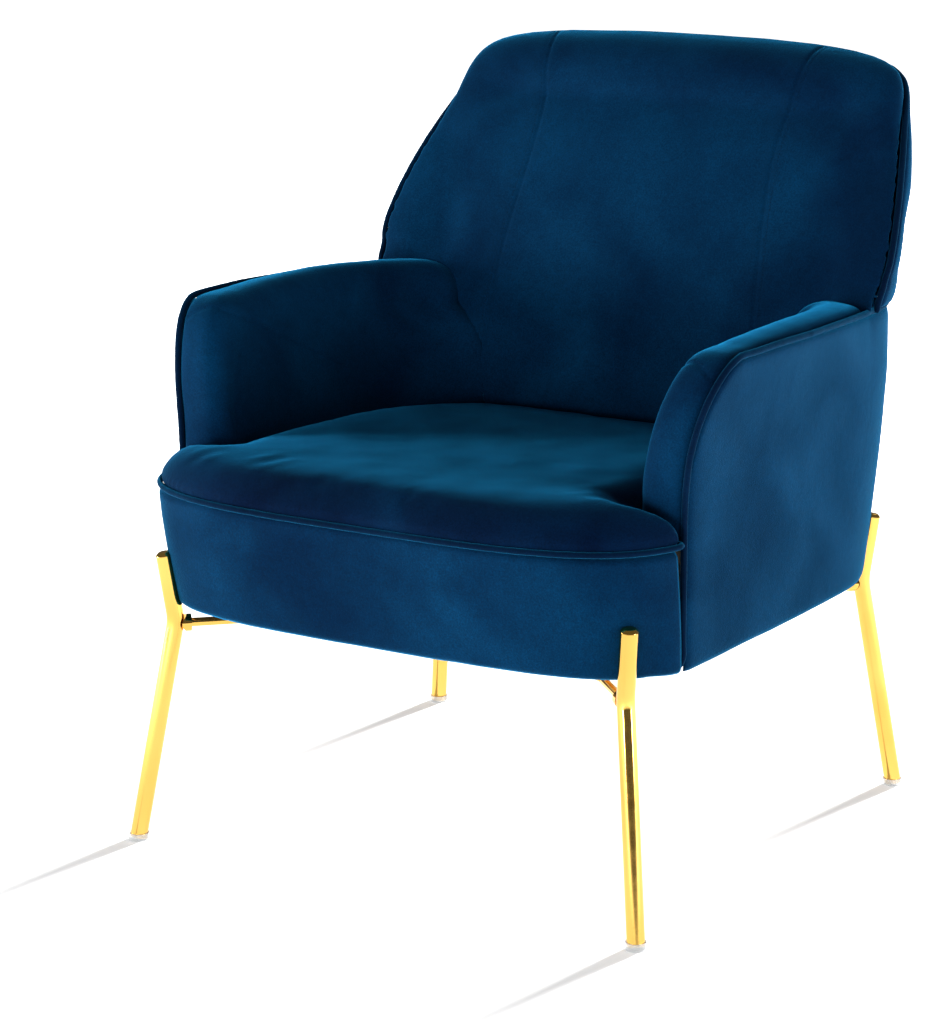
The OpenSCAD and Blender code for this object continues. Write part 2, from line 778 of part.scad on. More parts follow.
// Roundness of the upper shell's plan
function shell_power(z) = lerp(3.05, 2.4, smooth((z - shell_split_z) / 80));
function low_shell(z, t) =
    inset_path([for (i = [0:shell_steps]) rear_point(lerp(turn_end + 1, 90, i / shell_steps), z)], t);
function high_shell(z, t) =
    let (a = edge_half(z) - t, start = edge_y(z) + shell_back, reach = rear_y(z) - t - start)
    [for (i = [0:shell_steps]) let (c = lerp(0, 90, i / shell_steps))
        [a * power(cos(c), 2 / shell_power(z)), start + reach * power(sin(c), 2 / shell_power(z))]];
function shell_ring(outer, inner, z) =
    concat(
        [for (p = outer) [p[0], p[1], z]], [for (i = [shell_steps - 1:-1:0]) [-outer[i][0], outer[i][1], z]],
        [for (p = inner) [-p[0], p[1], z]], [for (i = [shell_steps - 1:-1:0]) [inner[i][0], inner[i][1], z]]
    );

module outside_back() {
    color(velvet)
        skin([for (z = low_levels) shell_ring(low_shell(z, 0), low_shell(z, shell_t), z)], strip = true);
}
module outside_back_top() {
    color(velvet)
        skin([for (z = high_levels) shell_ring(high_shell(z, 0), high_shell(z, shell_t), z)], strip = true);
}

// ---- All parts ----

on_left() leg(true);  // leg_front_left
on_right() leg(true);  // leg_front_right
on_left() leg(false);  // leg_rear_left
on_right() leg(false);  // leg_rear_right
leg_caps();
on_left() glide(true);  // glide_front_left
on_right() glide(true);  // glide_front_right
on_left() glide(false);  // glide_rear_left
on_right() glide(false);  // glide_rear_right
rod_long();
rod_half(mirror_x(rod_start(true)));  // rod_front
rod_half(rod_start(false));  // rod_rear
rod_collars();
standoffs();
mounting_plates();
frame_bolts();
bolt_washers();
rail_front();
rail_rear();
on_left() rail_side();  // rail_left
on_right() rail_side();  // rail_right
corner_blocks();
on_left() arm_frame();  // arm_frame_left
on_right() arm_frame();  // arm_frame_right
on_left() back_post();  // back_post_left
on_right() back_post();  // back_post_right
back_rail(744, 44, 184);  // back_rail_top
back_rail(400, 50, 230);  // back_rail_low
seat_springs();
spring_clips();
back_webbing();
dust_cover();
seat_cushion();
seat_welt();
front_apron();
on_left() arm_pad();  // arm_pad_left
on_right() arm_pad();  // arm_pad_right
on_left() side_panel();  // side_panel_left
on_right() side_panel();  // side_panel_right
on_left() arm_welt();  // arm_welt_left
on_right() arm_welt();  // arm_welt_right
on_left() back_panel(seam_x + panel_gap / 2, back_side_x, 10);  // back_panel_left
back_panel(-seam_x, seam_x, 12);  // back_panel_centre
on_right() back_panel(seam_x + panel_gap / 2, back_side_x, 10);  // back_panel_right
back_welt();
outside_back();
outside_back_top();
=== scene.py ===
"""Looks for the upholstered armchair: velvet pads, welts, stitching, gold tube and a studio."""
import json
import math
import bmesh
import bpy
import numpy as np
from mathutils import Euler, Matrix, Vector, noise
from mathutils.bvhtree import BVHTree

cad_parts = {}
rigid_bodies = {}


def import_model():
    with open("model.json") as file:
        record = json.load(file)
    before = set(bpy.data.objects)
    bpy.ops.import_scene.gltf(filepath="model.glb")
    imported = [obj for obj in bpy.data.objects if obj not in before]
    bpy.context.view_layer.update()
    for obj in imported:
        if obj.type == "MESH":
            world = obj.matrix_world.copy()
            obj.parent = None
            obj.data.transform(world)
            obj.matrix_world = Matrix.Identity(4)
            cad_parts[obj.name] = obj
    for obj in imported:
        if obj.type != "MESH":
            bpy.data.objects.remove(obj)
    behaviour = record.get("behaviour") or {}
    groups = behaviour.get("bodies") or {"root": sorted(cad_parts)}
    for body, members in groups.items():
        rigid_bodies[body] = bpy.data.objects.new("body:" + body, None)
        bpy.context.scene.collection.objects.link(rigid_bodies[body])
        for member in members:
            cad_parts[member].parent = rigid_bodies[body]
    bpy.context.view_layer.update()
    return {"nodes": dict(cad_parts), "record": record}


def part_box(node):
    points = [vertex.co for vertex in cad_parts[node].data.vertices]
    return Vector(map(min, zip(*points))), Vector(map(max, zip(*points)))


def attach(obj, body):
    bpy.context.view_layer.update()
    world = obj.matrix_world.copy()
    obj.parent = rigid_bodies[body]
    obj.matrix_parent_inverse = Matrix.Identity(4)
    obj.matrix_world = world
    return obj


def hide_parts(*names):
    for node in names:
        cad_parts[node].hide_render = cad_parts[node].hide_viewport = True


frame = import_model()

MM = 0.001


# ---------------------------------------------------------------- shape of the chair, in millimetres
def clamp01(t):
    return min(max(t, 0.0), 1.0)


def smooth(t):
    c = clamp01(t)
    return c * c * (3 - 2 * c)


def lerp(a, b, t):
    return a + (b - a) * t


def power(u, e):
    return max(u, 0.0) ** e


def unit(v):
    return v / np.linalg.norm(v)


def arc(angle):
    """Cosine and sine of an angle in degrees."""
    return math.cos(math.radians(angle)), math.sin(math.radians(angle))


BASE_Z, SEAM_Z, SEAT_Z, ARM_Z = 275.0, 420.0, 459.0, 606.0
BODY_HALF, FRONT_HALF, FRONT_START, FRONT_REACH, FRONT_POWER = 331.0, 329.5, 200.0, 166.0, 3.9
REAR_START, FLARE_MID, ARM_FALL = 15.0, -135.0, 14.0
SIDE_FRONT_Y, WELT_R = -252.0, 4.0
EDGE_TOP_Z, WING_HALF, SPLIT_Z = 866.0, 341.0, 598.0
REAR_FOOT_Y, REAR_SLOPE = 274, 0.206
FLARE_OUT, FLARE_REACH, FLARE_FROM_Z, FLARE_POWER = 29, 310, 430, 2.2
HALF_BLEND = 150
REAR_POWER, REAR_POWER_GAIN, REAR_POWER_TOP_LOSS = 4.8, 0.6, 0.5


def rear_y(z):
    """The back of the body, which leans backwards."""
    return REAR_FOOT_Y + REAR_SLOPE * (z - BASE_Z)


def flare(y, z):
    """How far the sides lean out towards the arms' tops."""
    along = max(0.0, 1 - power((y - FLARE_MID) / FLARE_REACH, 2))
    return FLARE_OUT * along * power((z - FLARE_FROM_Z) / (ARM_Z - FLARE_FROM_Z), FLARE_POWER)


def side_half(y, z):
    """Half the width of the body over its outside panels."""
    if y < -FRONT_START:
        half = FRONT_HALF * power(1 - power((-y - FRONT_START) / FRONT_REACH, FRONT_POWER), 1 / FRONT_POWER)
    else:
        half = lerp(FRONT_HALF, BODY_HALF, min(1, (y + FRONT_START) / HALF_BLEND))
    return half + flare(y, z)


def rear_roundness(z):
    """Squareness of the rear corners in plan."""
    return (REAR_POWER + REAR_POWER_GAIN * smooth((z - BASE_Z) / 200)
            - REAR_POWER_TOP_LOSS * smooth((z - 500) / 100))


def rear_point(angle, z):
    """A place (x, y) on the rear half of the body's plan, from its side at 0 degrees to its middle at 90."""
    c, s = arc(angle)
    y = REAR_START + (rear_y(z) - REAR_START) * power(s, 2 / rear_roundness(z))
    return BODY_HALF * power(c, 2 / rear_roundness(z)) + flare(y, z), y


def front_point(angle, half, start, reach, roundness=FRONT_POWER):
    """A place (x, y) on a rounded front, from its right end at 0 degrees to its left end at 180."""
    c, s = arc(angle)
    return half * math.copysign(abs(c) ** (2 / roundness), c), -(start + reach * power(s, 2 / roundness))


ARM_ROLL_Y, ARM_ROLL, ARM_ROLL_DROP = 184, 68, 120
FALL_FROM_Y, FALL_SPAN, FALL_POWER = -110, 300, 1.3


def side_top(y):
    """Top of the side panel: it rolls down at the front and falls a little towards the rear."""
    u = clamp01((-y - ARM_ROLL_Y) / ARM_ROLL)
    return (ARM_Z - WELT_R - ARM_ROLL_DROP * (1 - math.sqrt(1 - u * u))
            - ARM_FALL * power((min(y, 200) - FALL_FROM_Y) / FALL_SPAN, FALL_POWER))


EDGE_LOW_Y, EDGE_STEP, EDGE_LEAN, EDGE_BEND = 172, 15, 0.55, 0.0012
EDGE_TURN_Z, EDGE_NARROW, EDGE_TAPER, EDGE_CORNER = 640, 4, 0.012, 24


def edge_y(z):
    """Depth of the piped edge of the backrest."""
    rise = max(0.0, z - 630)
    return EDGE_LOW_Y + EDGE_STEP * smooth((z - 590) / 40) + EDGE_LEAN * rise + EDGE_BEND * rise * rise


def edge_half(z):
    """Half the width of the backrest at its piped edge."""
    rise = max(0.0, z - EDGE_TURN_Z)
    narrow = EDGE_NARROW * smooth((650 - z) / 50)
    corner = math.sqrt(max(0.0, 1 - (rise / (EDGE_TOP_Z - EDGE_TURN_Z)) ** EDGE_CORNER))
    return (WING_HALF - narrow - EDGE_TAPER * rise ** 1.6) * corner


def edge_z(x):
    """The height at which the piped edge is x wide, found by halving."""
    low, high = float(EDGE_TURN_Z), EDGE_TOP_Z
    for _ in range(22):
        mid = (low + high) / 2
        low, high = (mid, high) if edge_half(mid) > abs(x) else (low, mid)
    return low


INSIDE_Y, INSIDE_Z, INSIDE_LEAN, INSIDE_CURVE, INSIDE_TOP_LEAN = 155, 450, 0.27, 0.0008, 0.08
INSIDE_CROWN, INSIDE_HALF = 8, 350


def inside_y(x, z):
    """Depth of the face a sitter leans on, crowned towards its middle."""
    return (INSIDE_Y + INSIDE_LEAN * (z - INSIDE_Z) + INSIDE_CURVE * max(0.0, z - 620) ** 2
            + INSIDE_TOP_LEAN * max(0.0, z - 600) - INSIDE_CROWN * (1 - (x / INSIDE_HALF) ** 2))


ARM_INNER_X, ARM_INNER_LEAN, ARM_INNER_CURVE = 266, 0.16, 0.0009
ARM_SWEEP, ARM_SWEEP_FOOT, ARM_SWEEP_FROM_Y, ARM_SWEEP_RUN = 100, 30, -30, 190


def arm_inner(y, z):
    """Half the gap between the arms, whose inner faces curve in to meet the backrest."""
    straight = ARM_INNER_X + ARM_INNER_LEAN * max(0.0, z - 460) + ARM_INNER_CURVE * max(0.0, z - 520) ** 2
    sweep = ARM_SWEEP * (1 - power((z - 440) / 150, 2.8)) + ARM_SWEEP_FOOT * (1 - smooth((z - 450) / 40))
    u = clamp01((y - ARM_SWEEP_FROM_Y) / ARM_SWEEP_RUN)
    return straight - max(0.0, sweep) * (1 - math.sqrt(1 - u * u))


FACE_FLAT_SHARE, FACE_TURN_SHARE, FACE_EDGE_GAP = 0.72, 0.2, 9


def back_face(x, z):
    """Depth of the backrest's face, drawn towards the piping near its sides."""
    t = smooth((abs(x) / max(edge_half(z), 1) - FACE_FLAT_SHARE) / FACE_TURN_SHARE)
    return lerp(inside_y(x, z), min(inside_y(x, z), edge_y(z) - FACE_EDGE_GAP), t)


def shell_power(z):
    """Squareness of the outside back in plan."""
    return 2.6 - 0.35 * smooth((z - 606) / 40) + 0.5 * smooth((z - 680) / 50) - 0.4 * smooth((z - 770) / 40)


# ---------------------------------------------------------------- meshes
def new_piece(name, points, faces, look, slot):
    mesh = bpy.data.meshes.new(name)
    mesh.from_pydata([tuple(p) for p in points], [], faces)
    mesh.validate()
    mesh.update()
    obj = bpy.data.objects.new(name, mesh)
    bpy.context.scene.collection.objects.link(obj)
    mesh.polygons.foreach_set("use_smooth", [True] * len(mesh.polygons))
    mesh.materials.append(look)
    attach(obj, "root")
    return obj


def loft(rings, strip=False, fan=False):
    """Points in metres and faces of a closed solid through rings in millimetres."""
    n, m = len(rings[0]), len(rings)
    points = [tuple(c * MM for c in p) for r in rings for p in r]
    faces = []
    for j in range(m - 1):
        for i in range(n):
            a, b = j * n + i, j * n + (i + 1) % n
            faces.append((a, a + n, b + n, b))
    last = (m - 1) * n
    if strip:
        for i in range(n // 2 - 1):
            a, b, c, d = i, i + 1, n - 2 - i, n - 1 - i
            faces.append((a, b, c, d))
            faces.append((last + d, last + c, last + b, last + a))
    elif fan:
        for start, ring, turn in ((0, rings[0], 1), (last, rings[-1], -1)):
            mid = np.mean(np.array(ring), axis=0) * MM
            points.append(tuple(mid))
            k = len(points) - 1
            for i in range(n):
                pair = (start + i, start + (i + 1) % n)
                faces.append((k, pair[0], pair[1]) if turn > 0 else (k, pair[1], pair[0]))
    return points, faces


def outward(obj):
    """Turns the faces outwards."""
    bm = bmesh.new()
    bm.from_mesh(obj.data)
    bmesh.ops.recalc_face_normals(bm, faces=bm.faces)
    bm.to_mesh(obj.data)
    bm.free()
    obj.data.update()


def apply_modifiers(obj):
    depsgraph = bpy.context.evaluated_depsgraph_get()
    mesh = bpy.data.meshes.new_from_object(obj.evaluated_get(depsgraph))
    old = obj.data
    obj.modifiers.clear()
    obj.data = mesh
    mesh.name = obj.name
    bpy.data.meshes.remove(old)
    mesh.polygons.foreach_set("use_smooth", [True] * len(mesh.polygons))


def coords(mesh):
    out = np.empty(len(mesh.vertices) * 3)
    mesh.vertices.foreach_get("co", out)
    return out.reshape(-1, 3)


def normals(mesh):
    out = np.empty(len(mesh.vertices) * 3)
    mesh.vertices.foreach_get("normal", out)
    return out.reshape(-1, 3)


def set_coords(mesh, points):
    mesh.vertices.foreach_set("co", np.asarray(points, dtype=float).ravel())
    mesh.update()


def remesh(obj, size):
    mod = obj.modifiers.new("remesh", "REMESH")
    mod.mode = "VOXEL"
    mod.voxel_size = size
    mod.use_smooth_shade = True
    apply_modifiers(obj)


def relax(obj, factor, repeat):
    mod = obj.modifiers.new("relax", "SMOOTH")
    mod.factor = factor
    mod.iterations = repeat
    apply_modifiers(obj)


def subdivide(obj, levels=1):
    mod = obj.modifiers.new("subdiv", "SUBSURF")
    mod.levels = levels
    mod.render_levels = levels
    apply_modifiers(obj)


SIM_FRAMES, SIM_PRESSURE, SIM_MASS = 20, 4, 0.35
SIM_STRETCH, SIM_SHEAR, SIM_BEND = 25, 12, 1.5


def inflate(obj, cap, keep):
    """Swells a pad as cloth under pressure, no point by more than cap; keep(points) scales the move."""
    before = coords(obj.data).copy()
    mod = obj.modifiers.new("cloth", "CLOTH")
    settings = mod.settings
    settings.quality = 4
    settings.mass = SIM_MASS
    settings.tension_stiffness = SIM_STRETCH
    settings.compression_stiffness = SIM_STRETCH
    settings.shear_stiffness = SIM_SHEAR
    settings.bending_stiffness = SIM_BEND
    settings.use_pressure = True
    settings.uniform_pressure_force = SIM_PRESSURE
    settings.effector_weights.gravity = 0
    mod.collision_settings.use_collision = False
    mod.collision_settings.use_self_collision = False
    mod.point_cache.frame_start = 1
    mod.point_cache.frame_end = SIM_FRAMES
    scene = bpy.context.scene
    for frame_number in range(1, SIM_FRAMES + 1):
        scene.frame_set(frame_number)
    apply_modifiers(obj)
    scene.frame_set(1)
    move = coords(obj.data) - before
    length = np.linalg.norm(move, axis=1, keepdims=True)
    move *= np.minimum(1, cap / np.maximum(length, 1e-9))
    set_coords(obj.data, before + move * keep(before)[:, None])


def polyline_distance(points, line):
    """Distance from each point to a polyline, and the share of the line at the nearest place."""
    best = np.full(len(points), 1e9)
    where = np.zeros(len(points))
    line = np.asarray(line, dtype=float)
    for k in range(len(line) - 1):
        a, b = line[k], line[k + 1]
        d = b - a
        t = np.clip(((points - a) @ d) / (d @ d), 0, 1)
        gap = np.linalg.norm(points - a - t[:, None] * d, axis=1)
        closer = gap < best
        best[closer] = gap[closer]
        where[closer] = (k + t[closer]) / (len(line) - 1)
    return best, where


def press(obj, line, depth, width):
    """Presses a rounded groove into a pad along a line in metres."""
    points = coords(obj.data)
    low, high = np.min(line, axis=0) - 4 * width, np.max(line, axis=0) + 4 * width
    near = np.all((points > low) & (points < high), axis=1)
    d, _ = polyline_distance(points[near], line)
    push = np.zeros(len(points))
    push[near] = depth * np.exp(-(d / width) ** 2)
    set_coords(obj.data, points - normals(obj.data) * push[:, None])


def ripple(obj, amount, size, seed, where=None):
    """Low, slow unevenness of hand-pulled cloth over foam."""
    points, normal = coords(obj.data), normals(obj.data)
    offset = Vector((seed * 3.1, seed * 1.7, seed * 0.9))
    fine = 0.45 * size
    value = np.array([noise.noise(Vector(p) / size + offset) + 0.5 * noise.noise(Vector(p) / fine + offset)
                      for p in points])
    if where is not None:
        value = value * where(points)
    set_coords(obj.data, points + normal * (amount * value)[:, None])


def fold(obj, line, height, width):
    """A soft crease: a groove with a raised lip on each side."""
    points = coords(obj.data)
    low, high = np.min(line, axis=0) - 5 * width, np.max(line, axis=0) + 5 * width
    near = np.all((points > low) & (points < high), axis=1)
    d, t = polyline_distance(points[near], line)
    fade = np.sin(np.pi * np.clip(t, 0.02, 0.98))
    u = d / width
    push = np.zeros(len(points))
    push[near] = height * fade * (np.exp(-u ** 2) - 0.55 * np.exp(-((u - 1.9) / 0.9) ** 2))
    set_coords(obj.data, points - normals(obj.data) * push[:, None])


def resampled(points, count, closed=False):
    """A curve's points at equal steps, with the last one left out where the curve is closed."""
    run = np.concatenate([[0], np.cumsum(np.linalg.norm(np.diff(points, axis=0), axis=1))])
    at = np.linspace(0, run[-1], count, endpoint=not closed)
    return np.stack([np.interp(at, run, points[:, k]) for k in range(points.shape[1])], axis=1)


def spline(points, count):
    """A smooth curve through points, resampled to equal steps."""
    p = np.asarray(points, dtype=float)
    p = np.vstack([2 * p[0] - p[1], p, 2 * p[-1] - p[-2]])
    out = []
    for k in range(1, len(p) - 2):
        for t in np.linspace(0, 1, 16, endpoint=False):
            a, b, c, d = p[k - 1], p[k], p[k + 1], p[k + 2]
            out.append(0.5 * (2 * b + (c - a) * t + (2 * a - 5 * b + 4 * c - d) * t ** 2
                              + (3 * b - a - 3 * c + d) * t ** 3))
    out.append(p[-2])
    return resampled(np.array(out), count)


def closed_plan(points, count):
    """A closed smooth plan curve, resampled to equal steps."""
    p = np.asarray(points, dtype=float)
    for _ in range(2):
        q = np.roll(p, -1, axis=0)
        p = np.stack([0.75 * p + 0.25 * q, 0.25 * p + 0.75 * q], axis=1).reshape(-1, p.shape[1])
    return resampled(np.vstack([p, p[:1]]), count, closed=True)


CORD_SIDES, WELT_PUCKER = 14, 0.00022


def cord_rings(path, radius):
    """Rings along a path, closing at both ends, with no twist from one to the next."""
    rings = []
    path = np.asarray(path, dtype=float)
    up = None
    for i in range(len(path)):
        d = path[min(i + 1, len(path) - 1)] - path[max(i - 1, 0)]
        d /= np.linalg.norm(d)
        if up is None:
            up = np.cross(d, (0, 0, 1)) if abs(d[2]) < 0.9 else np.cross(d, (0, 1, 0))
        side = up - d * (up @ d)
        side /= np.linalg.norm(side)
        up = side
        other = np.cross(d, side)
        end = min(i, len(path) - 1 - i)
        r = radius * (0.55 if end == 0 else 0.9 if end == 1 else 1.0)
        rings.append([path[i] + r * (math.cos(a) * side + math.sin(a) * other)
                      for a in np.linspace(0, 2 * math.pi, CORD_SIDES, endpoint=False)])
    return rings


def welt(name, path, node, radius=3.7):
    """A velvet covered piping cord with the slight puckers of its bias-cut cover, coloured with a darker
    velvet copy that is painted shade.
    """
    rings = cord_rings(path, radius)
    points, faces = loft(rings, fan=True)
    obj = new_piece(name, points, faces, MAT["welt"], "velvet_welt")
    outward(obj)
    p, nrm = coords(obj.data), normals(obj.data)
    pucker = np.array([noise.noise(Vector(q) * 95) + 0.6 * noise.noise(Vector(q) * 210) for q in p])
    set_coords(obj.data, p + nrm * (WELT_PUCKER * pucker)[:, None])
    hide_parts(node)


def surface_of(obj):
    mesh = obj.data
    return BVHTree.FromPolygons([v.co for v in mesh.vertices], [tuple(p.vertices) for p in mesh.polygons])


def on_surface(tree, line):
    """A line's points moved to the nearest places on a surface."""
    return np.array([tree.find_nearest(Vector(p))[0] for p in line])


STITCH_PITCH, STITCH_LENGTH, THREAD_R, STITCH_SINK = 0.0046, 0.0034, 0.00042, 0.0001


def stitches(name, lines, host):
    """Rows of single thread stitches lying in the surface of host, as one mesh."""
    pitch, length, radius = STITCH_PITCH, STITCH_LENGTH, THREAD_R
    tree = surface_of(host)
    points, faces = [], []
    sides, steps = 6, 5
    for line in lines:
        line = np.asarray(line, dtype=float)
        run = np.concatenate([[0], np.cumsum(np.linalg.norm(np.diff(line, axis=0), axis=1))])
        for at in np.arange(pitch / 2, run[-1] - pitch / 2, pitch):
            spots = (at - length / 2, at + length / 2)
            ends = [Vector([np.interp(spot, run, line[:, k]) for k in range(3)]) for spot in spots]
            hits = [tree.find_nearest(e) for e in ends]
            if hits[0][0] is None or hits[1][0] is None:
                continue
            a, b = hits[0][0], hits[1][0]
            n = (hits[0][1] + hits[1][1]).normalized()
            d = b - a
            if d.length < 1e-5:
                continue
            side = d.normalized().cross(n)
            base = len(points)
            for k in range(steps):
                t = k / (steps - 1)
                swell = math.sin(math.pi * (0.12 + 0.76 * t))
                lift = radius * (1.1 * math.sin(math.pi * t) - 0.5) - STITCH_SINK
                mid = a.lerp(b, t) + n * lift
                for s in range(sides):
                    w = 2 * math.pi * s / sides
                    points.append(mid + (side * math.cos(w) + n * math.sin(w)) * radius * swell)
            for k in range(steps - 1):
                for s in range(sides):
                    p, q = base + k * sides + s, base + k * sides + (s + 1) % sides
                    faces.append((p, q, q + sides, p + sides))
            faces.append(tuple(base + s for s in reversed(range(sides))))
            faces.append(tuple(base + (steps - 1) * sides + s for s in range(sides)))
    new_piece(name, points, faces, MAT["thread"], "velvet_welt")


# ---------------------------------------------------------------- materials
def material(name):
    """A new material with a bare Principled shader, and the coordinates its patterns are laid out in."""
    mat = bpy.data.materials.new(name)
    mat.use_nodes = True
    nodes, links = mat.node_tree.nodes, mat.node_tree.links
    nodes.clear()
    out = nodes.new("ShaderNodeOutputMaterial")
    bsdf = nodes.new("ShaderNodeBsdfPrincipled")
    links.new(bsdf.outputs[0], out.inputs[0])
    coord = nodes.new("ShaderNodeTexCoord").outputs["Object"]
    return mat, nodes, links, bsdf, coord


def noise_node(nodes, links, coord, scale, detail=3.0, rough=0.55, stretch=None, distortion=0.0):
    node = nodes.new("ShaderNodeTexNoise")
    node.inputs["Scale"].default_value = scale
    node.inputs["Detail"].default_value = detail
    node.inputs["Roughness"].default_value = rough
    node.inputs["Distortion"].default_value = distortion
    if stretch:
        mapping = nodes.new("ShaderNodeMapping")
        mapping.inputs["Scale"].default_value = stretch
        links.new(coord, mapping.inputs["Vector"])
        coord = mapping.outputs[0]
    links.new(coord, node.inputs["Vector"])
    return node.outputs[0]


def ramp(nodes, links, value, stops):
    node = nodes.new("ShaderNodeValToRGB")
    elements = node.color_ramp.elements
    while len(elements) < len(stops):
        elements.new(0.5)
    for element, (at, colour) in zip(elements, stops):
        element.position = at
        element.color = (*colour, 1)
    links.new(value, node.inputs[0])
    return node.outputs[0]


def mix(nodes, links, kind, factor, a, b):
    node = nodes.new("ShaderNodeMix")
    node.data_type = "RGBA"
    node.blend_type = kind
    node.inputs[0].default_value = factor
    links.new(a, node.inputs[6])
    links.new(b, node.inputs[7])
    return node.outputs[2]


def bump(nodes, links, height, distance, strength, under=None):
    node = nodes.new("ShaderNodeBump")
    node.inputs["Strength"].default_value = strength
    node.inputs["Distance"].default_value = distance
    links.new(height, node.inputs["Height"])
    if under is not None:
        links.new(under, node.inputs["Normal"])
    return node.outputs[0]


NAVY_TINT = (0.02, 0.40, 0.85)


def velvet(name, deep, mid, light, sheen, sheen_rough=0.32):
    """Short pile cloth: slow brushed tone changes and a fine speckled grain, with a bright edge sheen."""
    mat, nodes, links, bsdf, coord = material(name)
    patches = noise_node(nodes, links, coord, 6.5, 2, 0.5, distortion=0.5)
    mottle = noise_node(nodes, links, coord, 90, 3, 0.6)
    speck = noise_node(nodes, links, coord, 520, 2, 0.65)
    grain = noise_node(nodes, links, coord, 1500, 1, 0.7)
    base = ramp(nodes, links, patches, [(0.32, deep), (0.52, mid), (0.72, light)])
    layers = ((mottle, 0.35, 0.72, 1.22), (speck, 0.6, 0.6, 1.4), (grain, 0.55, 0.6, 1.4))
    for layer, weight, low, high in layers:
        tone = ramp(nodes, links, layer, [(0.32, (low,) * 3), (0.68, (high,) * 3)])
        base = mix(nodes, links, "MULTIPLY", weight, base, tone)
    links.new(base, bsdf.inputs["Base Color"])
    rough = ramp(nodes, links, patches, [(0.3, (0.95,) * 3), (0.7, (0.8,) * 3)])
    links.new(rough, bsdf.inputs["Roughness"])
    bsdf.inputs["Specular IOR Level"].default_value = 0.03
    bsdf.inputs["Sheen Weight"].default_value = sheen
    bsdf.inputs["Sheen Roughness"].default_value = sheen_rough
    bsdf.inputs["Sheen Tint"].default_value = (*NAVY_TINT, 1)
    normal = bump(nodes, links, patches, 0.01, 0.15)
    normal = bump(nodes, links, mottle, 0.0008, 0.25, normal)
    normal = bump(nodes, links, speck, 0.0005, 0.6, normal)
    normal = bump(nodes, links, grain, 0.0003, 0.5, normal)
    links.new(normal, bsdf.inputs["Normal"])
    return mat


def gold_material():
    """Polished plating: fine draw lines, a slow tone change and small smudges."""
    mat, nodes, links, bsdf, coord = material("gold_plate")
    tone = noise_node(nodes, links, coord, 9, 2, 0.5)
    smudge = noise_node(nodes, links, coord, 70, 4, 0.6)
    lines = noise_node(nodes, links, coord, 900, 2, 0.6, stretch=(1.0, 1.0, 0.05))
    golds = [(0.3, (0.66, 0.39, 0.08)), (0.7, (0.78, 0.48, 0.12))]
    colour = ramp(nodes, links, tone, golds)
    links.new(colour, bsdf.inputs["Base Color"])
    rough = ramp(nodes, links, smudge, [(0.35, (0.07,) * 3), (0.75, (0.13,) * 3)])
    links.new(rough, bsdf.inputs["Roughness"])
    bsdf.inputs["Metallic"].default_value = 1.0
    normal = bump(nodes, links, lines, 0.00002, 0.25)
    links.new(bump(nodes, links, smudge, 0.0001, 0.1, normal), bsdf.inputs["Normal"])
    return mat


def clear_material():
    """Clear moulded plastic with a faint haze."""
    mat, nodes, links, bsdf, coord = material("clear_glide")
    haze = noise_node(nodes, links, coord, 260, 3, 0.6)
    clears = [(0.3, (0.86, 0.88, 0.88)), (0.8, (0.96, 0.97, 0.97))]
    colour = ramp(nodes, links, haze, clears)
    links.new(colour, bsdf.inputs["Base Color"])
    rough = ramp(nodes, links, haze, [(0.3, (0.12,) * 3), (0.8, (0.3,) * 3)])
    links.new(rough, bsdf.inputs["Roughness"])
    bsdf.inputs["IOR"].default_value = 1.46
    bsdf.inputs["Transmission Weight"].default_value = 0.75
    links.new(bump(nodes, links, haze, 0.0002, 0.2), bsdf.inputs["Normal"])
    return mat


def steel_material():
    """Zinc-plated steel with its spangle."""
    mat, nodes, links, bsdf, coord = material("zinc_steel")
    spangle = nodes.new("ShaderNodeTexVoronoi")
    spangle.inputs["Scale"].default_value = 420
    links.new(coord, spangle.inputs["Vector"])
    cloud = noise_node(nodes, links, coord, 60, 3)
    greys = [(0.1, (0.42, 0.43, 0.45)), (0.7, (0.62, 0.63, 0.64))]
    colour = ramp(nodes, links, spangle.outputs["Distance"], greys)
    links.new(colour, bsdf.inputs["Base Color"])
    rough = ramp(nodes, links, cloud, [(0.3, (0.28,) * 3), (0.7, (0.5,) * 3)])
    links.new(rough, bsdf.inputs["Roughness"])
    bsdf.inputs["Metallic"].default_value = 1.0
    links.new(bump(nodes, links, cloud, 0.0002, 0.3), bsdf.inputs["Normal"])
    return mat


def wood_material():
    """Beech: long grain and fine pores."""
    mat, nodes, links, bsdf, coord = material("beech")
    grain = noise_node(nodes, links, coord, 30, 5, 0.6, stretch=(1.0, 0.12, 1.0), distortion=0.6)
    pores = noise_node(nodes, links, coord, 700, 2, 0.6, stretch=(1.0, 0.1, 1.0))
    colour = ramp(nodes, links, grain,
                  [(0.3, (0.46, 0.28, 0.14)), (0.5, (0.62, 0.42, 0.24)), (0.7, (0.73, 0.53, 0.33))])
    colour = mix(nodes, links, "MULTIPLY", 0.5, colour,
                 ramp(nodes, links, pores, [(0.35, (0.6,) * 3), (0.6, (1.0,) * 3)]))
    links.new(colour, bsdf.inputs["Base Color"])
    bsdf.inputs["Roughness"].default_value = 0.62
    links.new(bump(nodes, links, pores, 0.0003, 0.3), bsdf.inputs["Normal"])
    return mat


